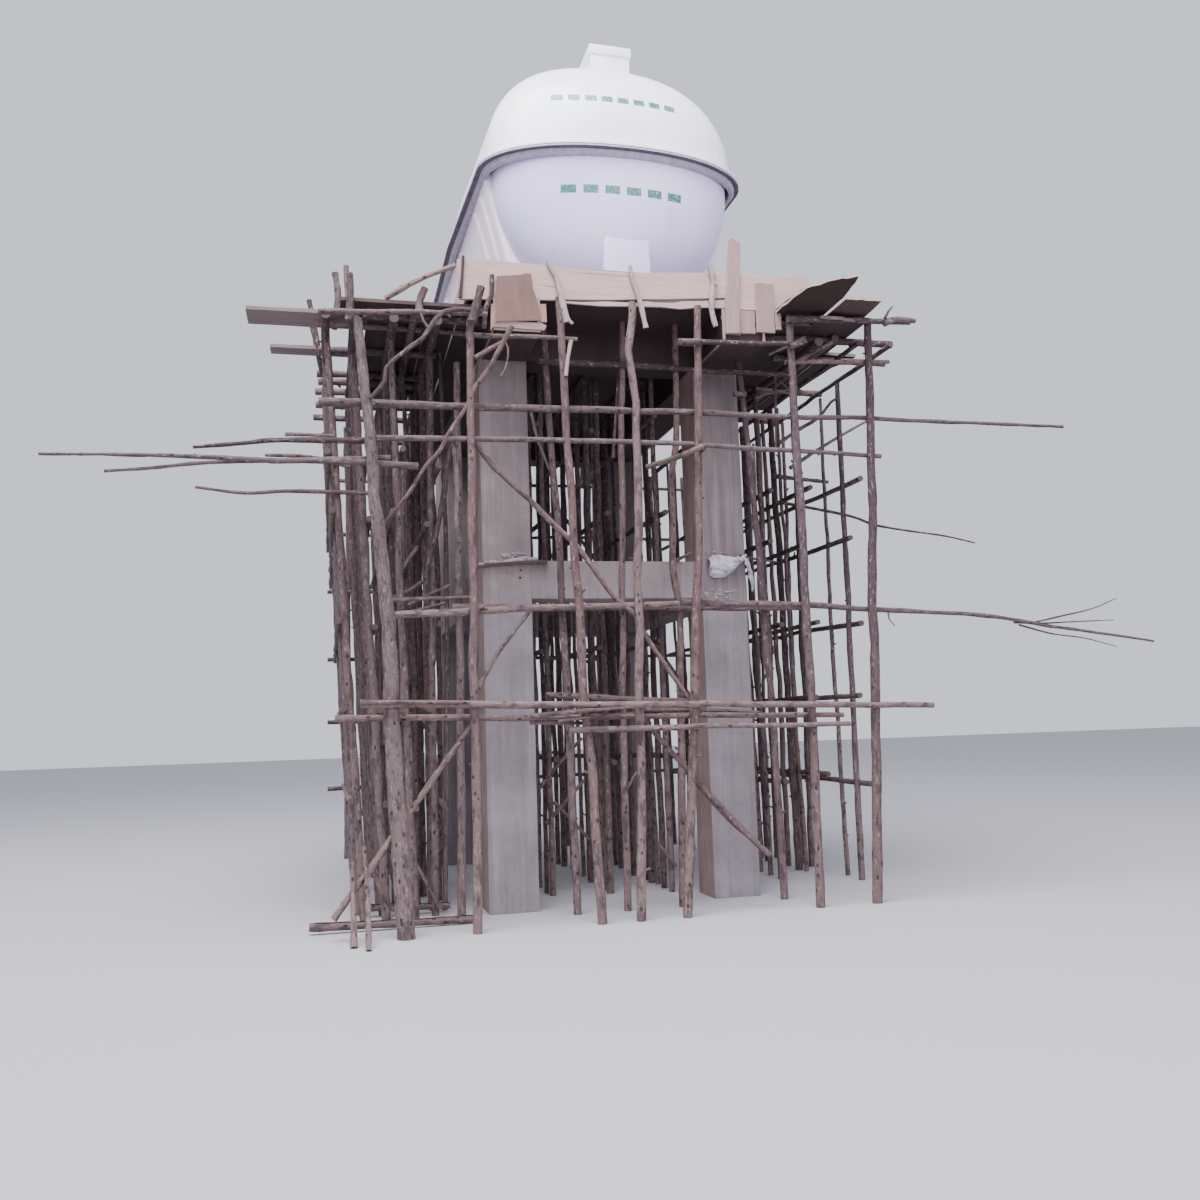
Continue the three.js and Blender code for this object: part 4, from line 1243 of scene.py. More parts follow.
def odd_pieces(face):
    """The odd pieces that close the box at the front left."""
    brown = [(-1.096, 4.562), (-0.742, 4.597), (-0.777, 4.781), (-0.799, 4.837), (-0.806, 4.9),
             (-0.812, 4.966), (-0.85, 4.968), (-0.9, 4.952), (-0.98, 4.942), (-1.083, 4.93)]
    sliver = [(-1.136, 4.494), (-1.079, 4.593), (-1.084, 4.713), (-1.13, 4.712)]
    tan = [(-0.739, 4.589), (-0.691, 4.592), (-0.695, 4.738), (-0.783, 4.732)]
    floor_edge = [(-1.12, 4.525), (-0.714, 4.52), (-0.696, 4.558), (-0.742, 4.58), (-0.9, 4.577),
                  (-1.08, 4.577)]
    return [cut_board(brown, "xz", face - 0.028, 0.022, "z", brown_board, pale_board, 0.0),
            cut_board(sliver, "xz", face - 0.006, 0.02, "z", tan_board, pale_board, 0.0),
            cut_board(tan, "xz", face - 0.002, 0.02, "z", tan_board, pale_board, 0.3),
            cut_board(floor_edge, "xz", face - 0.012, 0.03, "x", grey_board, tone=0.6)]


def box_end(end, x, face):
    """The upright boards that close a box: odd lengths at the front right, two plain ones at the rear."""
    if end == "front":
        spans = [(0.925, 1.05, 4.594, 4.79, 0.55), (1.055, 1.212, 4.602, 5.021, 0.7),
                 (1.217, 1.27, 4.632, 4.8, 0.5), (x, 0.92, 4.58, 4.79, 0.4)]
    else:
        spans = [(x, x + 0.18, BOX_FLOOR, BOX_TOP, 0.5), (x + 0.185, x + BOX_WIDE, BOX_FLOOR, BOX_TOP, 0.7)]
    boards = []
    for x0, x1, z0, z1, tone in spans:
        # A board that reaches above the soffit stands before the others
        y0, y1 = (face - 0.026, face - 0.003) if z1 > BOX_TOP else (face, face + BOARD)
        boards.append(long_board(x0, x1, y0, y1, z0, z1, "z", grey_board, pale_board, tone))
    return boards


def build_upright_board():
    """The board that stands up past the slab at the front right, broken at its top."""
    outline = [(0.79, 4.577), (0.911, 4.584), (0.916, 4.864), (0.93, 5.1), (0.939, 5.344), (0.928, 5.372),
               (0.916, 5.352), (0.905, 5.388), (0.892, 5.37), (0.881, 5.392), (0.862, 5.386), (0.85, 5.391),
               (0.836, 5.36), (0.824, 5.25), (0.817, 5.155), (0.812, 5.02), (0.79, 4.855)]
    upright = cut_board(outline, "xz", FRONT_FACE - 0.0253, 0.025, "z", grey_board, pale_board, 0.2)
    place_boards([upright], "upright_edge_board", "upright_board_right")


def side_by_side(x0, x1, fronts, y1):
    """Boards that run front to back, one for each front end, with gaps and uneven backs."""
    wide = (x1 - x0) / len(fronts)
    boards = []
    for i, y0 in enumerate(fronts):
        left = x0 + i * wide
        front = y0 + timber_dice.uniform(0.0, 0.03)
        back = y1 - timber_dice.uniform(0.0, 0.2)
        top = DECK_TOP - timber_dice.uniform(0, 0.004)
        boards.append(long_board(left + 0.002, left + wide - 0.004, front, back, DECK_UNDERSIDE, top, "y",
                                 shade_darkened_sheet, grey_plank))
    return boards


def rising_sheet(corners, chips, faces, name, node):
    """A sheet that rests on the deck at its back and rises towards the front, with a splintered pale edge."""
    seat = DECK_TOP + CLEAR
    hinge = at(0, 0.05, seat)
    outline = worn_outline(corners, chips, 0.011)
    sheet = cut_board(outline, "xy", seat, SHEET, "y", faces, pale_board, 0.3)
    rise = Matrix.Rotation(math.radians(-3.05), 4, "X")
    sheet.matrix_world = Matrix.Translation(hinge) @ rise @ Matrix.Translation(-hinge)
    place_boards([settle(sheet)], name, node, "plywood")


def build_platforms():
    """Loose planks and sheets that make a working platform on both sides."""
    left_cheek, right_cheek = -1.1132, 1.1332
    low, high, seat, thick = DECK_UNDERSIDE, DECK_TOP, DECK_TOP + CLEAR, 0.032
    worn, grey = (shade_darkened_sheet, shade_darkened_worn_sheet, 0.1), (grey_plank, grey_plank, 0.4)
    planks = {
        "front_plank_left": (-2.26, left_cheek, -0.62, -0.3, low, high, "x", *worn),
        "plank_left": (-2.97, -1.6, -0.25, 0.07, seat, seat + thick, "x", *grey),
        "plank_left_rear": (-2.83, -1.6, 0.59, 0.765, seat, seat + thick, "x", *grey),
    }
    for name, plank in planks.items():
        place_boards([long_board(*plank)], "worn_" + name, "platform_" + name)
    left = side_by_side(-2.06, left_cheek, [-0.295] * 4, 2.1)
    place_boards(left, "left_deck_boards", "platform_deck_left", "plywood")
    narrow = [(1.997, -0.02), (2.305, 0.0), (2.28, 0.17), (2.22, 0.32), (2.2, 0.71), (2.19, 1.07),
              (2.19, 1.72), (1.997, 1.75)]
    worn_narrow = worn_outline(narrow, (2, 1, 1, 2, 2, 3, 1, 6), 0.004)
    right = [cut_board(worn_narrow, "xy", low, high - low, "y", shade_darkened_sheet, grey_plank, 0.2)]
    right += side_by_side(right_cheek, 1.992, [-0.69, -0.69, -0.85, -0.83], 2.6)
    place_boards(right, "right_deck_boards", "platform_deck_right", "plywood")
    split = [(1.227, -0.786), (1.289, -1.2), (1.448, -1.363), (1.605, -1.454), (1.636, -1.269),
             (1.66, -1.076), (1.645, -0.748), (1.68, 0.05), (1.25, 0.05)]
    rising_sheet(split, (6, 4, 4, 3, 3, 1, 1, 2, 3), shade_darkened_torn_sheet, "split_sheet_right", "platform_sheet_right")
    square = [(1.69, -1.057), (2.004, -1.067), (2.012, -0.915), (2.02, 0.05), (1.71, 0.05), (1.671, -0.749)]
    rising_sheet(square, (7, 2, 3, 2, 1, 1), shade_darkened_worn_sheet, "squared_sheet_right", "platform_sheet_right_outer")


# Scaffold

RAIL_ASIDE = 0.048
FRONT_RAIL_ASIDE = 0.052
SECOND_RAIL_ASIDE = 0.046
FRONT_ROW = -0.745
SECOND_ROW = -0.26
REAR_ROW = 4.672
SIDE_ROW_TOP = 4.6334
SIDE_POST = 0.032
UNDER_POST = 0.029
REAR_POST = 0.035
STOUT_CAP = 0.036
THIN_CAP = 0.022
BEARER_HEIGHT = 4.6667
SOFFIT_SEAT = SOFFIT - CLEAR
BOX_SEAT = COLUMN_TOP - 0.0253


def flat(depth, *points):
    """The points of a stick that lies in one upright plane across the tower."""
    return [(x, depth, z) for x, z in points]


# Crooked sticks tied and leant along the front row: points, radius, share of it left at the tip,
# number of sides, bark or peeled wood, and tone
FRONT_BRANCHES = [
    ([(-1.218, -0.845, 4.591), (-1.369, -0.845, 4.596), (-1.497, -0.84, 4.573), (-1.584, -0.83, 4.49),
      (-1.664, -0.83, 4.362), (-1.749, -0.83, 4.296), (-1.872, -0.83, 4.19), (-1.938, -0.83, 4.118),
      (-1.946, -0.82, 4.018), (-2.052, -0.788, 3.895)], 0.019, 0.8),
    ([(-1.62, -0.83, 4.44), (-1.66, -0.84, 4.49), (-1.68, -0.84, 4.55)], 0.01, 0.7, 6),
    ([(-1.271, -0.687, 3.633), (-1.167, -0.687, 3.473), (-1.025, -0.687, 3.329), (-0.859, -0.687, 3.177),
      (-0.692, -0.687, 3.001), (-0.509, -0.69, 2.824), (-0.358, -0.69, 2.623), (-0.229, -0.69, 2.436),
      (-0.067, -0.69, 2.296), (0.016, -0.69, 2.132), (0.114, -0.69, 1.976), (0.221, -0.69, 1.82),
      (0.36, -0.69, 1.62)], 0.026, 0.7),
    (flat(-0.687, (-0.148, 1.598), (-0.01, 1.465), (0.143, 1.285), (0.304, 1.105), (0.388, 0.995),
                  (0.566, 0.804), (0.761, 0.597), (0.958, 0.411)), 0.02, 1.25),
    (flat(-0.83, (-1.05, 4.375), (-1.025, 4.32), (-1.036, 4.193), (-1.084, 4.097)), 0.009, 0.7, 6),
    (flat(-0.654, (-1.429, 3.64), (-1.408, 3.286), (-1.419, 3.052), (-1.403, 2.852)), 0.02, 0.85),
    ([(0.2, -0.3, 3.555), (0.352, -0.5, 3.577), (0.422, -0.75, 3.573),
      (0.505, -0.85, 3.601)], 0.024, 0.95, 8, BARK, 1.2),
    ([(-0.994, -0.85, 4.486), (-1.085, -0.822, 4.318), (-1.176, -0.794, 4.151), (-1.266, -0.767, 4.031),
      (-1.341, -0.739, 3.865), (-1.477, -0.711, 3.666), (-1.536, -0.683, 3.548), (-1.655, -0.656, 3.413),
      (-1.774, -0.628, 3.218), (-1.952, -0.6, 2.993)], 0.019, 0.7),
    (flat(-0.8, (-1.274, 4.238), (-1.166, 4.31), (-1.058, 4.375)), 0.02, 0.8),
    # The next two sticks take the darkest bark tone: painted shade under the front board
    (flat(-0.86, (-1.299, 4.496), (-1.262, 4.63), (-1.226, 4.775)), 0.036, 0.85, 8, BARK, 0.0),
    (flat(-0.714, (-1.186, 4.505), (-1.169, 4.678), (-1.126, 4.78),
                  (-1.118, 4.939)), 0.02, 0.8, 8, BARK, 0.0),
    ([(-1.665, -0.66, 4.6), (-1.673, -0.62, 4.715), (-1.625, -0.62, 4.838)], 0.032, 0.85),
    (flat(-0.642, (-2.2, 4.537), (-2.187, 4.727), (-2.189, 4.907)), 0.03, 0.8),
    ([(-1.93, -0.6, 4.744), (-1.741, -0.65, 4.85), (-1.576, -0.68, 4.929),
      (-1.4, -0.725, 4.99)], 0.024, 0.7, 8, BARK, 1.5),
    ([(-0.678, -0.712, 5.089), (-0.652, -0.713, 5.025), (-0.615, -0.716, 4.965), (-0.585, -0.72, 4.836),
      (-0.557, -0.725, 4.689), (-0.536, -0.728, 4.585)], 0.015, 2.1, 8, PEELED),
    ([(-0.545, -0.735, 4.64), (-0.525, -0.74, 4.6), (-0.494, -0.742, 4.572)], 0.018, 0.7, 7, PEELED),
    ([(-0.004, -0.718, 5.091), (0.001, -0.718, 5.0), (0.029, -0.718, 4.919), (0.059, -0.72, 4.825),
      (0.083, -0.722, 4.702), (0.106, -0.722, 4.579)], 0.017, 1.3, 8, PEELED),
    ([(0.666, -0.722, 5.137), (0.682, -0.722, 5.09), (0.693, -0.722, 5.019), (0.68, -0.724, 4.891),
      (0.665, -0.725, 4.778), (0.684, -0.725, 4.666), (0.696, -0.725, 4.625)], 0.023, 0.95, 8, PEELED),
    ([(0.69, -0.73, 5.0), (0.706, -0.74, 4.984), (0.722, -0.74, 4.963)], 0.013, 0.8, 6, PEELED),
    (flat(-0.745, (-0.513, 4.44), (-0.542, 4.295), (-0.562, 4.148)), 0.016, 0.8, 8, PEELED),
    (flat(-0.7, (1.296, 4.365), (1.595, 4.386), (1.945, 4.396), (2.239, 4.417)), 0.019, 0.9),
    ([(1.531, -0.599, 4.63), (1.467, -0.382, 4.63), (1.4, -0.15, 4.63)], 0.014, 0.9, 7, PEELED),
    ([(1.802, -0.558, 4.62), (1.714, -0.051, 4.62), (1.63, 0.43, 4.62)], 0.013, 0.8, 7, PEELED),
    (flat(-0.757, (0.383, 4.468), (0.465, 4.476), (0.545, 4.48)), 0.026, 1.0, 8, BARK, 0.6),
    # The darkest bark tone on the next rail is painted shade under the slab
    ([(0.516, -0.757, 4.478), (0.813, -0.768, 4.482), (1.06, -0.778, 4.483),
      (1.324, -0.792, 4.498)], 0.021, 0.9, 8, BARK, 0.0),
    (flat(-0.83, (2.143, 4.7), (2.26, 4.74), (2.431, 4.736)), 0.03, 0.7),
    (flat(-0.85, (2.143, 4.737), (2.18, 4.8), (2.224, 4.846)), 0.013, 0.5),
    (flat(-0.795, (1.302, 4.463), (1.371, 4.491), (1.438, 4.52)), 0.026, 0.8),
    (flat(-0.84, (-0.927, 1.535), (-0.551, 1.561), (-0.135, 1.579)), 0.02, 0.6),
    (flat(-0.766, (-0.705, 1.492), (-0.377, 1.522), (-0.117, 1.542)), 0.014, 0.6),
    (flat(-0.67, (-0.898, 1.492), (-0.602, 1.475), (-0.422, 1.47)), 0.018, 0.7),
    (flat(-0.69, (-0.606, 1.416), (-0.347, 1.405), (-0.1, 1.407)), 0.018, 0.7),
    (flat(-0.674, (-0.026, 1.556), (0.455, 1.545), (0.937, 1.515)), 0.018, 0.6),
    (flat(-0.84, (-2.135, 1.668), (-1.75, 1.66), (-1.365, 1.648)), 0.018, 0.7),
    ([(-2.196, -0.95, 0.0), (-2.196, -0.745, 0.27), (-2.201, -0.7, 0.548)], 0.024, 0.7),
    ([(-2.103, -1.1, 0.0), (-2.098, -0.77, 0.299), (-2.118, -0.7, 0.654)], 0.022, 0.7),
    ([(-3.299, -0.62, 3.534), (-2.942, -0.62, 3.575), (-2.697, -0.62, 3.605),
      (-2.0, -0.65, 3.614)], 0.014, 1.9),
    ([(-3.888, -0.629, 3.341), (-3.586, -0.629, 3.37), (-3.249, -0.629, 3.416), (-2.907, -0.629, 3.44),
      (-2.484, -0.629, 3.459), (-1.9, -0.656, 3.483)], 0.011, 2.2),
]
# The same for the sticks further in, which lean on the second row and on the side rows
INNER_BRANCHES = [
    ([(-2.428, -0.153, 4.678), (-1.788, -0.153, 4.678), (-1.115, -0.11, 4.678)], 0.024, 0.9, 8, BARK, 1.0),
    (flat(0.138, (-1.326, 3.978), (-1.389, 3.678), (-1.426, 3.39), (-1.479, 3.122), (-1.566, 2.788),
                 (-1.6, 2.541)), 0.026, 0.7),
    (flat(-0.296, (-1.357, 3.572), (-1.391, 3.394), (-1.363, 3.201), (-1.358, 3.041),
                  (-1.376, 2.914)), 0.014, 0.7),
    ([(-1.281, -0.66, 1.755), (-1.083, -0.48, 2.048), (-0.785, -0.3, 2.398)], 0.02, 0.8),
    (flat(-0.218, (0.012, 4.431), (-0.025, 4.045), (-0.067, 3.643)), 0.016, 0.8),
    (flat(-0.223, (-0.754, 4.039), (-0.694, 3.764), (-0.584, 3.477)), 0.014, 0.8),
    (flat(-0.652, (0.394, 4.506), (0.497, 4.508), (0.598, 4.509)), 0.03, 0.95),
    (flat(-0.3, (0.99, 4.205), (1.04, 4.21), (1.1, 4.206)), 0.024, 0.9),
    (flat(-0.32, (1.18, 4.166), (1.27, 4.215), (1.36, 4.23), (1.5, 4.262)), 0.014, 0.7),
    (flat(-0.28, (1.2, 4.272), (1.3, 4.262), (1.42, 4.255), (1.56, 4.235)), 0.017, 0.8),
    ([(1.374, -0.303, 4.4), (1.368, -0.302, 4.22), (1.36, -0.3, 4), (1.352, -0.3, 3.72)], 0.012, 0.7),
    (flat(-0.3, (1.42, 4.335), (1.47, 4.29), (1.51, 4.25)), 0.009, 0.8),
    (flat(-0.011, (0.493, 2.814), (0.574, 2.851), (0.647, 2.886)), 0.016, 0.8),
    ([(1.085, -0.03, 2.862), (1.225, 0.04, 2.85), (1.48, 0.1, 2.829)], 0.013, 0.75),
    (flat(-0.4, (1.559, 4.491), (1.72, 4.59), (1.886, 4.677)), 0.022, 0.7),
    ([(0.618, 1.0, 3.886), (0.563, 0.07, 3.73), (0.509, -0.86, 3.572)], 0.02, 0.8),
    ([(1.793, 0.76, 3.509), (1.953, 0.6, 3.441), (2.364, 0.41, 3.314), (2.544, 0.28, 3.207),
      (2.794, 0.1, 3.121), (3.036, -0.08, 3.046), (3.225, -0.25, 2.955)], 0.017, 0.4),
    (flat(1.35, (2.008, 3.904), (2.3, 3.88), (2.621, 3.855)), 0.024, 0.8),
    ([(1.72, 0.5, 4.004), (1.929, 0.5, 4.145), (2.134, 0.49, 4.266), (2.263, 0.46, 4.417),
      (2.315, 0.462, 4.45)], 0.022, 0.6),
    (flat(0.81, (1.967, 3.856), (2.402, 4.126), (2.868, 4.384)), 0.02, 0.6),
    ([(0.389, -0.66, 0.994), (0.737, -0.43, 0.671), (1.157, -0.2, 0.358)], 0.022, 0.8),
    (flat(0.775, (-0.583, 0.908), (-0.361, 1.159), (-0.175, 1.345)), 0.02, 0.8),
    (flat(0.775, (-0.519, 0.612), (-0.341, 0.794), (-0.167, 0.976)), 0.02, 0.8),
    (flat(0.785, (-0.441, 0.797), (-0.28, 0.625), (-0.128, 0.452)), 0.018, 0.8),
    (flat(0.5, (0.409, 0.414), (0.491, 0.316), (0.564, 0.218)), 0.018, 0.8),
    (flat(-0.24, (-0.076, 0.917), (-0.014, 0.994), (0.037, 1.071)), 0.016, 0.8),
    (flat(-0.3, (-1.897, 2.458), (-1.55, 2.47), (-1.22, 2.479)), 0.018, 0.7),
    (flat(-0.662, (-1.918, 2.289), (-1.716, 2.337), (-1.515, 2.391)), 0.016, 0.7),
    (flat(0.2, (-1.886, 2.517), (-1.709, 2.599), (-1.561, 2.698)), 0.022, 0.8),
    (flat(0.227, (-1.802, 2.735), (-1.72, 2.849), (-1.637, 2.968)), 0.018, 0.8),
    (flat(0.13, (-1.731, 2.467), (-1.564, 2.548), (-1.39, 2.63)), 0.018, 0.8),
    (flat(0.1, (-2.303, 4.74), (-2.27, 5.0), (-2.294, 5.215)), 0.031, 0.85),
    (flat(0.0, (-2.184, 4.752), (-2.195, 5), (-2.207, 5.239)), 0.028, 0.85),
    (flat(0.6, (-2.435, 4.752), (-2.47, 4.97), (-2.509, 5.169)), 0.024, 0.85),
    (flat(0.8, (-2.403, 4.6), (-2.45, 4.83), (-2.495, 5.048)), 0.024, 0.85),
    (flat(-0.14, (-2.679, 3.78), (-2.501, 3.781), (-2.302, 3.777)), 0.018, 0.8),
    (flat(-0.145, (-2.828, 3.607), (-2.492, 3.602), (-2.188, 3.531)), 0.013, 1.4),
    (flat(-0.145, (-3.336, 3.345), (-2.974, 3.306), (-2.642, 3.328), (-1.994, 3.322)), 0.011, 1.8),
    ([(-2.031, -0.2, 0.424), (-1.988, -0.2, 0.274), (-1.9, -0.2, 0.136),
      (-1.745, -0.175, 0.014)], 0.018, 0.7),
    (flat(0.128, (-1.739, 0.484), (-1.625, 0.285), (-1.51, 0.046)), 0.018, 0.7),
    (flat(-0.316, (-2.502, 0.054), (-1.776, 0.039), (-1.254, 0.034)), 0.032, 0.8),
    (flat(0.3, (-2.138, 0.08), (-1.776, 0.06), (-1.414, 0.05)), 0.03, 0.8),
    (flat(0.8, (1.729, 2.196), (1.633, 1.916), (1.523, 1.713)), 0.014, 0.6),
]
# Twigs left at the thin end of the middle long rail
MIDDLE_TWIGS = [
    [(3.25, -0.69, 2.2), (3.5, -0.71, 2.19), (3.8, -0.72, 2.2), (4.2, -0.74, 2.21)],
    [(3.4, -0.69, 2.19), (3.7, -0.71, 2.25), (4.0, -0.72, 2.31), (4.25, -0.73, 2.4)],
    [(3.3, -0.69, 2.18), (3.6, -0.71, 2.1), (3.9, -0.72, 2.06), (4.2, -0.74, 1.98)],
    [(2.1, -0.68, 2.31), (2.09, -0.7, 2.24), (2.14, -0.7, 2.18)],
]
# Rows that run back: x at the foot and at the head, first seed, post stations from the front,
# and the side on which the rails are tied where a row has only one
SIDE_ROWS = {
    "left_outer": (-2.1, -2.37, 1, (-0.1, 0.5, 1.1, 1.7, 2.33, 2.98, 3.64, 4.23), -1),
    "left_second": (-1.93, -2.16, 91, (0.2, 0.82, 1.42, 2.08, 2.75, 3.42, 4.05), 1),
    "left_middle": (-1.74, -1.86, 11, (-0.18, 0.43, 1.02, 1.65, 2.28, 2.93, 3.56, 4.15), 0),
    "left_inner": (-1.53, -1.53, 21, (0.16, 0.7, 1.25, 1.79, 2.34, 2.9, 3.47, 4.02), 0),
    "right_inner": (1.69, 1.66, 31, (0.8, 1.4, 2.05, 2.7, 3.4, 4.1), 0),
    "right_middle": (2.07, 2.03, 101, (0.82, 1.35, 2.15, 2.95, 3.75), 0),
    "right_outer": (2.27, 2.33, 41, (0.4, 1.5, 2.35, 3.2, 4.05), 0),
}
UNDER_ROWS = {
    "under_left": (-0.48, -0.48, 51, (0.8, 1.28, 1.78, 2.26, 2.76, 3.27), 0),
    "under_middle": (0.03, 0.03, 61, (0.72, 1.08, 1.62, 2.18, 2.75, 3.26), 0),
    "under_right": (0.52, 0.52, 71, (0.52, 0.82, 1.18, 1.72, 2.26, 2.78, 3.26), 0),
}
REAR_STATIONS = (-2.15, -1.74, -1.33, -0.91, -0.18, 0.48, 0.95, 1.34, 1.76, 2.2)
SIDE_LEVELS = (0.9, 1.65, 2.33, 3.12, 3.62)
UNDER_LEVELS = (1.15, 2.15, 3.35, 4.15)
REAR_LEVELS = (0.85, 1.6, 2.35, 3.15, 3.85, 4.5)
# Bearers from front to back: x at the left and the right end, and y
LEFT_BEARERS = [(-2.09, -1.15, -0.42), (-2.43, -1.45, 0.42), (-2.45, -1.42, 1.06), (-2.44, -1.5, 1.29),
                (-2.47, -1.43, 1.59), (-2.47, -1.45, 2.03), (-2.5, -1.46, 2.48), (-2.48, -1.43, 3.38)]
RIGHT_BEARERS = [(1.16, 2.42, -0.44), (1.5, 2.6, 0.03), (1.53, 2.43, 1.0), (1.52, 2.44, 2.0)]
# Thin poles that crowd the space under the left deck: x, y, lean of the head to the right, and radius
LEFT_CROWD = [(-1.82, 0.95, -0.05, 0.024), (-1.75, 1.5, 0.02, 0.02), (-1.65, 0.6, -0.08, 0.026),
              (-1.6, 1.2, 0.04, 0.022), (-1.45, 1.85, -0.03, 0.02), (-1.44, 0.95, -0.02, 0.026),
              (-1.445, 0.4, 0.03, 0.022)]
# Where two posts swerve: heights, and how far to the right the post is there
FRONT_CROOK = ((2.9, 0), (3.4, 0.018), (3.7, 0.018), (3.98, 0.026), (4.12, 0.009), (4.28, -0.013),
               (4.42, -0.024), (4.53, -0.002), (4.66, 0.024), (4.9, 0.024))
SECOND_CROOK = ((2.35, 0), (2.85, -0.062), (3.45, -0.06), (3.85, -0.01), (4.3, 0))


def across_at(y):
    """Places (along, aside, up) for a frame that runs across, at one depth."""
    return lambda along, aside, up: at(along, y + aside, up)


def running_back(along, aside, up):
    """Places (along, aside, up) for a frame that runs from front to back."""
    return at(aside, along, up)


def bind(poles, name, *nodes):
    """Joins poles into one piece that stands on the ground."""
    whole = join(poles)
    for vertex in whole.data.vertices:
        vertex.co.z = max(vertex.co.z, 0)
    smooth(whole, POLE_SMOOTH)
    place_piece(whole, name, None, "bark_poles", *nodes)


def rail(foot, head, radius, thin=0.75, bow=0, wander=0.04, stubs=5, tone=None):
    """A pole that lies or slants, and bows downwards or up."""
    return pole(foot, head, radius, thin, bow, (0, 0, 1), wander, rail_stock, stubs, tone)


def scaffold(name, place, posts, rails, braces=(), sticks=(), tones=(), crooks=()):
    """One frame. Posts: foot, head, foot aside, head aside, top, radius, bow and taper; rails: start, end,
    aside, two heights and radius, with bow and tone where they matter; braces: the same without these."""
    poles = list(sticks)
    sideways = place(1, 0, 0) - place(0, 0, 0)
    for i, (foot, head, foot_aside, head_aside, top, radius, bow, thin) in enumerate(posts):
        tone = tones[i] if i < len(tones) else None
        post = pole(place(foot, foot_aside, 0), place(head, head_aside, top), radius, thin, bow, sideways,
                    stubs=9, tone=tone)
        if i in crooks:
            crook(post, crooks[i])
        poles.append(post)
    for start, end, aside, z0, z1, radius, *more in rails:
        bow, tone = more or (0, None)
        poles.append(rail(place(start, aside, z0), place(end, aside, z1), radius, bow=bow, tone=tone))
    for start, end, aside, z0, z1, radius in braces:
        poles.append(rail(place(start, aside, z0), place(end, aside, z1), radius, 0.8, wander=0.05, stubs=0))
    bind(poles, "barked_poles_" + name, "pole_frame_" + name)


def build_front_row():
    """The front row, pole by pole as it stands."""
    near, far = -FRONT_RAIL_ASIDE, FRONT_RAIL_ASIDE
    posts = [
        (-1.835, -2.135, 0, 0, 4.52, 0.068, 0.025, 0.52),
        (-1.327, -1.299, 0, 0, 4.57, 0.035, 0, 0.84),
        (-0.405, -0.590, 0, 0.045, SOFFIT_SEAT, 0.037, -0.02, 0.8),
        (-0.110, -0.018, 0, 0.045, SOFFIT_SEAT, 0.036, 0.025, 0.85),
        (0.250, 0.555, 0, 0.045, SOFFIT_SEAT, 0.037, 0.03, 0.8),
        (1.333, 1.331, 0, 0, 4.74, 0.036, 0.012, 0.85),
        (1.815, 2.038, 0, 0, 4.74, 0.040, 0.01, 0.8),
    ]
    rails = [
        (-2.425, -1.170, -0.033, 4.541, 4.597, 0.024),
        (-2.020, 2.110, far, 3.622, 3.600, 0.024, 0.04, 0.5),
        (-1.890, 0.300, far, 2.300, 2.375, 0.029),
        (-2.140, 2.385, near, 1.655, 1.528, 0.030, 0, 0.95),
        (-2.315, 1.640, far, 1.560, 1.473, 0.026, 0, 0.85),
        (-0.630, 1.640, near, 1.424, 1.402, 0.024, 0, 0.9),
        (-1.330, -0.450, far, 4.455, 4.468, 0.022),
        # The low tone of the next rail is painted shade under the right deck
        (1.290, 2.400, near, 4.700, 4.735, 0.030, 0, 0.2),
    ]
    braces = [(-2.330, -1.330, far, 0.160, 1.490, 0.026)]
    sticks = [branch(*stick) for stick in FRONT_BRANCHES]
    tones = (0.5, 0.85, 0.78, 0.95, 0.78, 0.3, 0.1)
    scaffold("front", across_at(FRONT_ROW), posts, rails, braces, sticks, tones, {3: FRONT_CROOK})


def build_second_row():
    """The row behind the front row, with the sticks that lean on it and on the side rows."""
    near = -SECOND_RAIL_ASIDE
    posts = [
        (-0.485, -0.640, 0, 0, SOFFIT_SEAT, 0.033, 0.02, 0.8),
        (-0.082, 0.040, 0, 0, SOFFIT_SEAT, 0.031, -0.025, 0.8),
        (0.372, 0.500, 0, 0, SOFFIT_SEAT, 0.033, 0.01, 0.8),
        (1.240, 1.060, 0, 0, BOX_SEAT, 0.032, 0.04, 0.8),
        (-1.385, -1.350, 0, 0, 4.38, 0.033, 0, 0.8),
    ]
    rails = [
        # The darkest bark tone on the next rail is painted shade under the slab
        (-0.690, 1.480, near, 4.410, 4.395, 0.028, 0, 0.0),
        (-1.425, 1.500, near, 2.395, 2.380, 0.032),
        (-0.700, 1.480, near, 1.700, 1.560, 0.026),
    ]
    sticks = [branch(*stick) for stick in INNER_BRANCHES]
    scaffold("front_second", across_at(SECOND_ROW), posts, rails, sticks=sticks, crooks={2: SECOND_CROOK})


def jitter(seed, size):
    """A repeatable shift that keeps rows of poles from looking ruled."""
    wave = math.sin(seed * 12.9898) * 43758.5453
    return (wave - math.floor(wave) - 0.5) * 2 * size


def row_of_posts(stations, seed, top, radius, foot_line=0.0, head_line=0.0):
    posts = []
    for i, station in enumerate(stations):
        spot = seed + i
        posts.append((station + jitter(spot, 0.05), station + jitter(spot + 0.37, 0.07),
                      foot_line + jitter(spot + 0.71, 0.022), head_line + jitter(spot + 0.13, 0.018),
                      top, radius + jitter(spot + 0.53, 0.006), 0, 0.8))
    return posts


def thin_companions(posts, seed):
    """A thinner pole set beside each post of a row, a hand or two further back."""
    beside = []
    for i, (foot, head, foot_aside, head_aside, top, radius, _, _) in enumerate(posts):
        back = 0.24 + jitter(seed + i * 1.7, 0.1)
        lean = jitter(seed + i * 2.3, 0.12)
        aside = jitter(seed + i * 3.1, 0.03)
        bow = jitter(seed + i * 0.7, 0.04)
        beside.append((foot + back, head + back + lean, foot_aside + aside, head_aside + aside, top - 0.05,
                       radius * 0.78, bow, 0.72))
    return beside


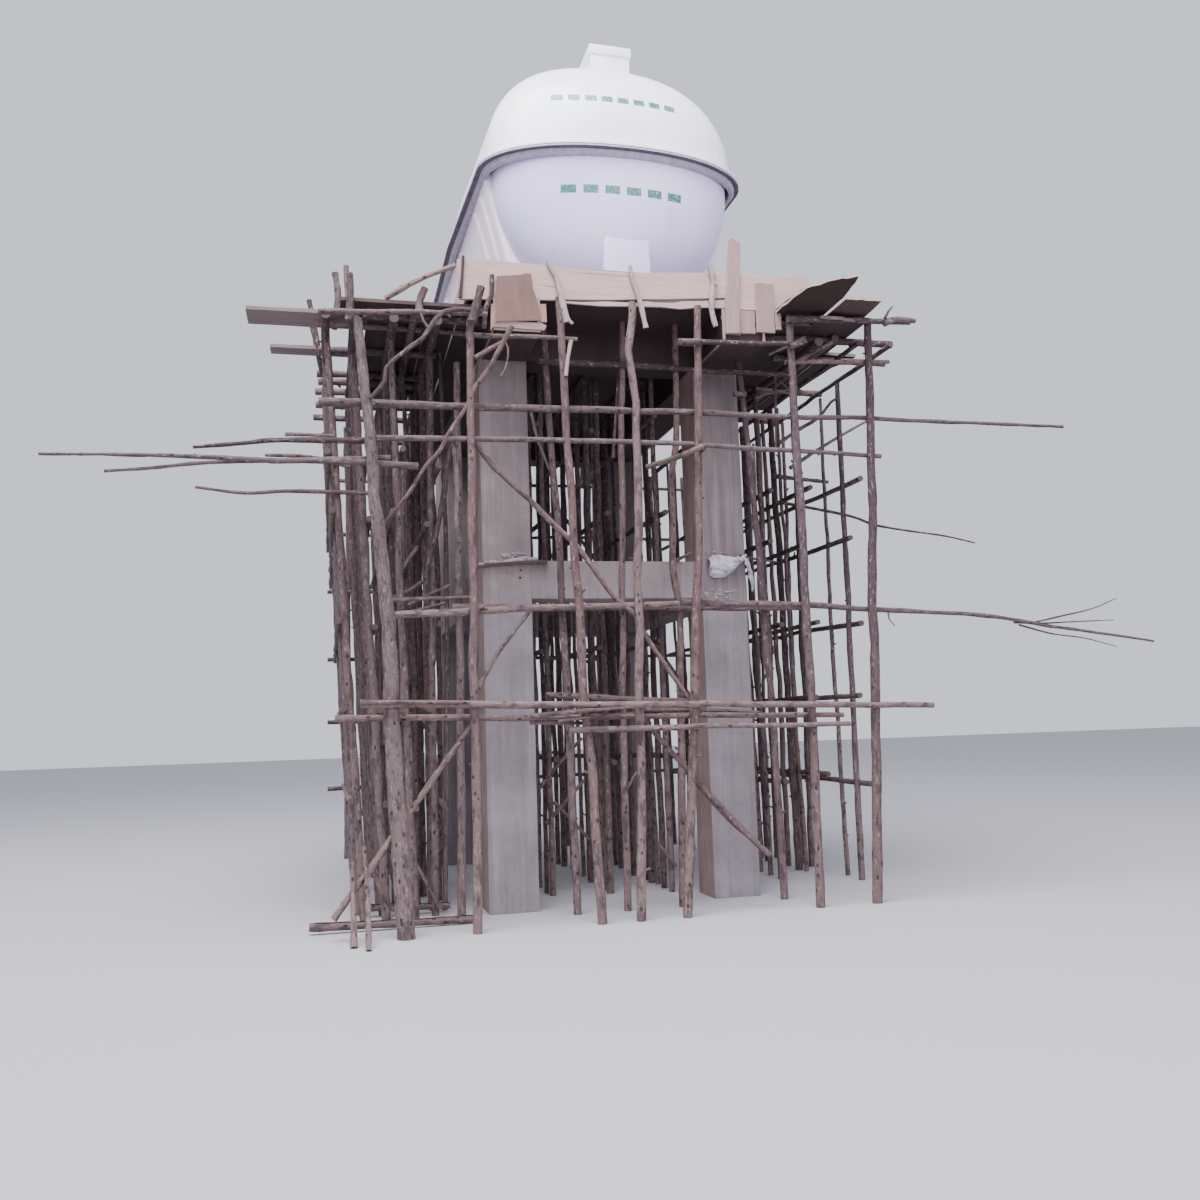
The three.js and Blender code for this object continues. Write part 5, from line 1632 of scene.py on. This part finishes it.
def row_of_rails(start, end, levels, seed, aside_at):
    rails = []
    for i, level in enumerate(levels):
        spot = seed + i * 0.9
        rails.append((start + jitter(spot, 0.09), end + jitter(spot + 0.4, 0.09), aside_at(level, i),
                      level + jitter(spot + 0.2, 0.045), level + jitter(spot + 0.6, 0.045), 0.025))
    return rails


def either_side(i):
    return RAIL_ASIDE if i % 2 == 0 else -RAIL_ASIDE


def build_row(name, row, top, overrun, cap_start, levels, radius, cap, pale=0.0):
    """One row that runs back: posts and their thin companions, rails, and a stout rail over their heads."""
    foot_line, head_line, seed, stations, tied = row
    start, end = stations[0], stations[-1]

    def aside_at(z, i):
        line = foot_line + (head_line - foot_line) * z / top
        return line + (tied * RAIL_ASIDE if tied else either_side(i))

    posts = row_of_posts(stations, seed, top, radius, foot_line, head_line)
    posts += thin_companions(posts[:-1], seed)
    rails = row_of_rails(start - overrun, end + 0.1, levels, seed + 5, aside_at)
    first = start - 0.06 if cap_start is None else cap_start
    # The cap over the heads takes the darkest bark tone: painted shade under the decks
    over = rail(at(head_line, first, top - cap), at(head_line, end + 0.06, top - cap * 0.75), cap, tone=0.0)
    tones = [timber_dice.uniform(pale - 0.5, pale + 0.2) for _ in posts] if pale else ()
    scaffold(name, running_back, posts, rails, sticks=[over], tones=tones)


def build_rows():
    """The rows at the sides and under the slab."""
    for name, row in SIDE_ROWS.items():
        cap = THIN_CAP if name in ("right_middle", "right_outer") else STOUT_CAP
        build_row(name, row, SIDE_ROW_TOP, 0.16, -0.59, SIDE_LEVELS, SIDE_POST, cap)
    for name, row in UNDER_ROWS.items():
        build_row(name, row, SOFFIT_SEAT, 0.12, None, UNDER_LEVELS, UNDER_POST, STOUT_CAP, pale=0.55)


def build_rear_row():
    """The row behind the tower, whose four middle posts lean in and carry the slab."""
    posts = row_of_posts(REAR_STATIONS, 81, 4.65, REAR_POST)
    for i, top in ((3, BOX_SEAT), (4, SOFFIT_SEAT), (5, SOFFIT_SEAT), (6, BOX_SEAT)):
        foot, head, foot_aside, _, _, radius, bow, thin = posts[i]
        posts[i] = (foot, head, foot_aside, -0.15, top, radius, bow, thin)
    rails = row_of_rails(-2.35, 2.4, REAR_LEVELS, 85, lambda z, i: either_side(i))
    braces = [(-2.15, -0.18, 0.055, 0.3, 2.9, 0.027), (2.2, 0.48, -0.055, 1.7, 4.2, 0.027)]
    scaffold("rear", across_at(REAR_ROW), posts, rails, braces)


def build_bearers():
    """Logs across the side rows, with one runner under each deck."""

    def log(x0, y0, x1, y1, thin, stubs):
        start, end = at(x0, y0, BEARER_HEIGHT), at(x1, y1, BEARER_HEIGHT)
        return rail(start, end, 0.033, thin, wander=0.02, stubs=stubs)

    for side, spans, x in (("left", LEFT_BEARERS, -1.7), ("right", RIGHT_BEARERS, 1.85)):
        logs = [log(x0, y, x1, y, 0.94, 2) for x0, x1, y in spans]
        logs.append(log(x, spans[0][2] - 0.08, x, spans[-1][2] + 0.08, 0.8, 0))
        bind(logs, "barked_bearers_" + side, "deck_bearers_" + side)


def build_long_rails():
    """Long thin rails whose tips reach far past the front posts."""
    rails = {
        "upper": ((-2.424, -0.6359, 3.9), (3.905, -0.6612, 3.925), 0.034, 0.38, 0.005, []),
        "middle": ((0.33, -0.653, 2.39), (4.6, -0.7157, 2.025), 0.030, 0.33, 0.085, MIDDLE_TWIGS),
        "left": ((-1.7, -0.682, 3.42), (-4.3, -0.682, 3.44), 0.028, 0.32, 0.02, []),
    }
    for name, (start, end, radius, thin, bow, twigs) in rails.items():
        poles = [pole(at(*start), at(*end), radius, thin, bow, (0, 0, 1), 0.07, stubs=5, tone=0.4)]
        poles += [branch(twig, 0.009, 0.4, 5) for twig in twigs]
        bind(poles, "barked_long_rail_" + name, "long_rail_" + name)


def build_left_crowd():
    """Thin poles that crowd the space under the left deck and end just inside it."""
    poles = []
    for x, y, lean, radius in LEFT_CROWD:
        head = at(x + lean, y, DECK_UNDERSIDE + 0.001)
        poles.append(pole(at(x, y, 0), head, radius, 0.75, 0.03, wander=0.06, stubs=7))
    bind(poles, "barked_poles_left_crowd")


for build in (build_dome, build_rim, build_trough, build_bowls, build_hatch, build_frame, build_front_board,
              build_edge_boards, build_beam_boxes, build_upright_board, build_platforms, build_front_row,
              build_second_row, build_mortar, build_rows, build_rear_row, build_bearers, build_long_rails,
              build_sack, build_left_crowd):
    build()
for stock in (post_stock, rail_stock, stub_stock):
    drop(stock)

# Solids that are carried over as they are: how their names start, and what they are made of
CARRIED = {
    "deck_slab": concrete,
    # The beams and soffit take the sheet darkened with painted shade
    "deck_beam": shade_darkened_sheet,
    "deck_cross": shade_darkened_sheet,
    "soffit_": shade_darkened_sheet,
}
for name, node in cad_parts.items():
    for start, material in CARRIED.items():
        if name.startswith(start):
            node.data.materials.clear()
            node.data.materials.append(material)


# Floor, light and camera

def build_stage():
    """A pale floor under the tower and an even pale sky."""
    lay_down()
    bpy.ops.mesh.primitive_plane_add(size=120, location=(0, 0, -0.002))
    floor = bpy.context.object
    floor.name = "studio_floor"
    floor_paint = new_material("studio_floor_paint")
    close_material(floor_paint, colour("#b0aeb2"), 0.9)
    floor.data.materials.append(floor_paint)
    world = bpy.data.worlds.new("studio_air")
    bpy.context.scene.world = world
    world.use_nodes = True
    sky = world.node_tree.nodes["Background"].inputs
    sky["Color"].default_value = colour("#e5eaf7")
    sky["Strength"].default_value = 1.12


def add_light(name, place, aim, size, power, tint):
    light = bpy.data.lights.new(name, type="AREA")
    light.shape = "DISK"
    light.size = size
    light.energy = power
    light.color = colour(tint)[:3]
    lamp = bpy.data.objects.new(name, light)
    lamp.location = place
    lamp.rotation_euler = (Vector(aim) - Vector(place)).to_track_quat("-Z", "Y").to_euler()
    bpy.context.scene.collection.objects.link(lamp)


def build_camera():
    """A camera where the photograph was taken from, with its lens."""
    yaw, pitch, roll = (math.radians(degrees) for degrees in (13.97, 6.54, -1.84))
    forward = Vector((math.sin(yaw) * math.cos(pitch), math.cos(yaw) * math.cos(pitch), math.sin(pitch)))
    level = Vector((math.cos(yaw), -math.sin(yaw), 0))
    upward = level.cross(forward)
    right = math.cos(roll) * level + math.sin(roll) * upward
    up = math.cos(roll) * upward - math.sin(roll) * level
    data = bpy.data.cameras.new("view_camera")
    data.sensor_fit = "HORIZONTAL"
    data.sensor_width = 36
    data.lens = 33.02
    camera = bpy.data.objects.new("view_camera", data)
    turn = Matrix((right, up, -forward)).transposed().to_4x4()
    camera.matrix_world = Matrix.Translation(at(-2.3588, -8.829, 1.4438)) @ turn
    bpy.context.scene.collection.objects.link(camera)
    bpy.context.scene.camera = camera


build_stage()
add_light("sky_panel", (-4, -6, 15), (0, 0.5, 4), 11, 5400, "#fafaff")
add_light("front_fill", (2, -13, 6), (0, 0, 3), 8, 760, "#f6eef6")
build_camera()
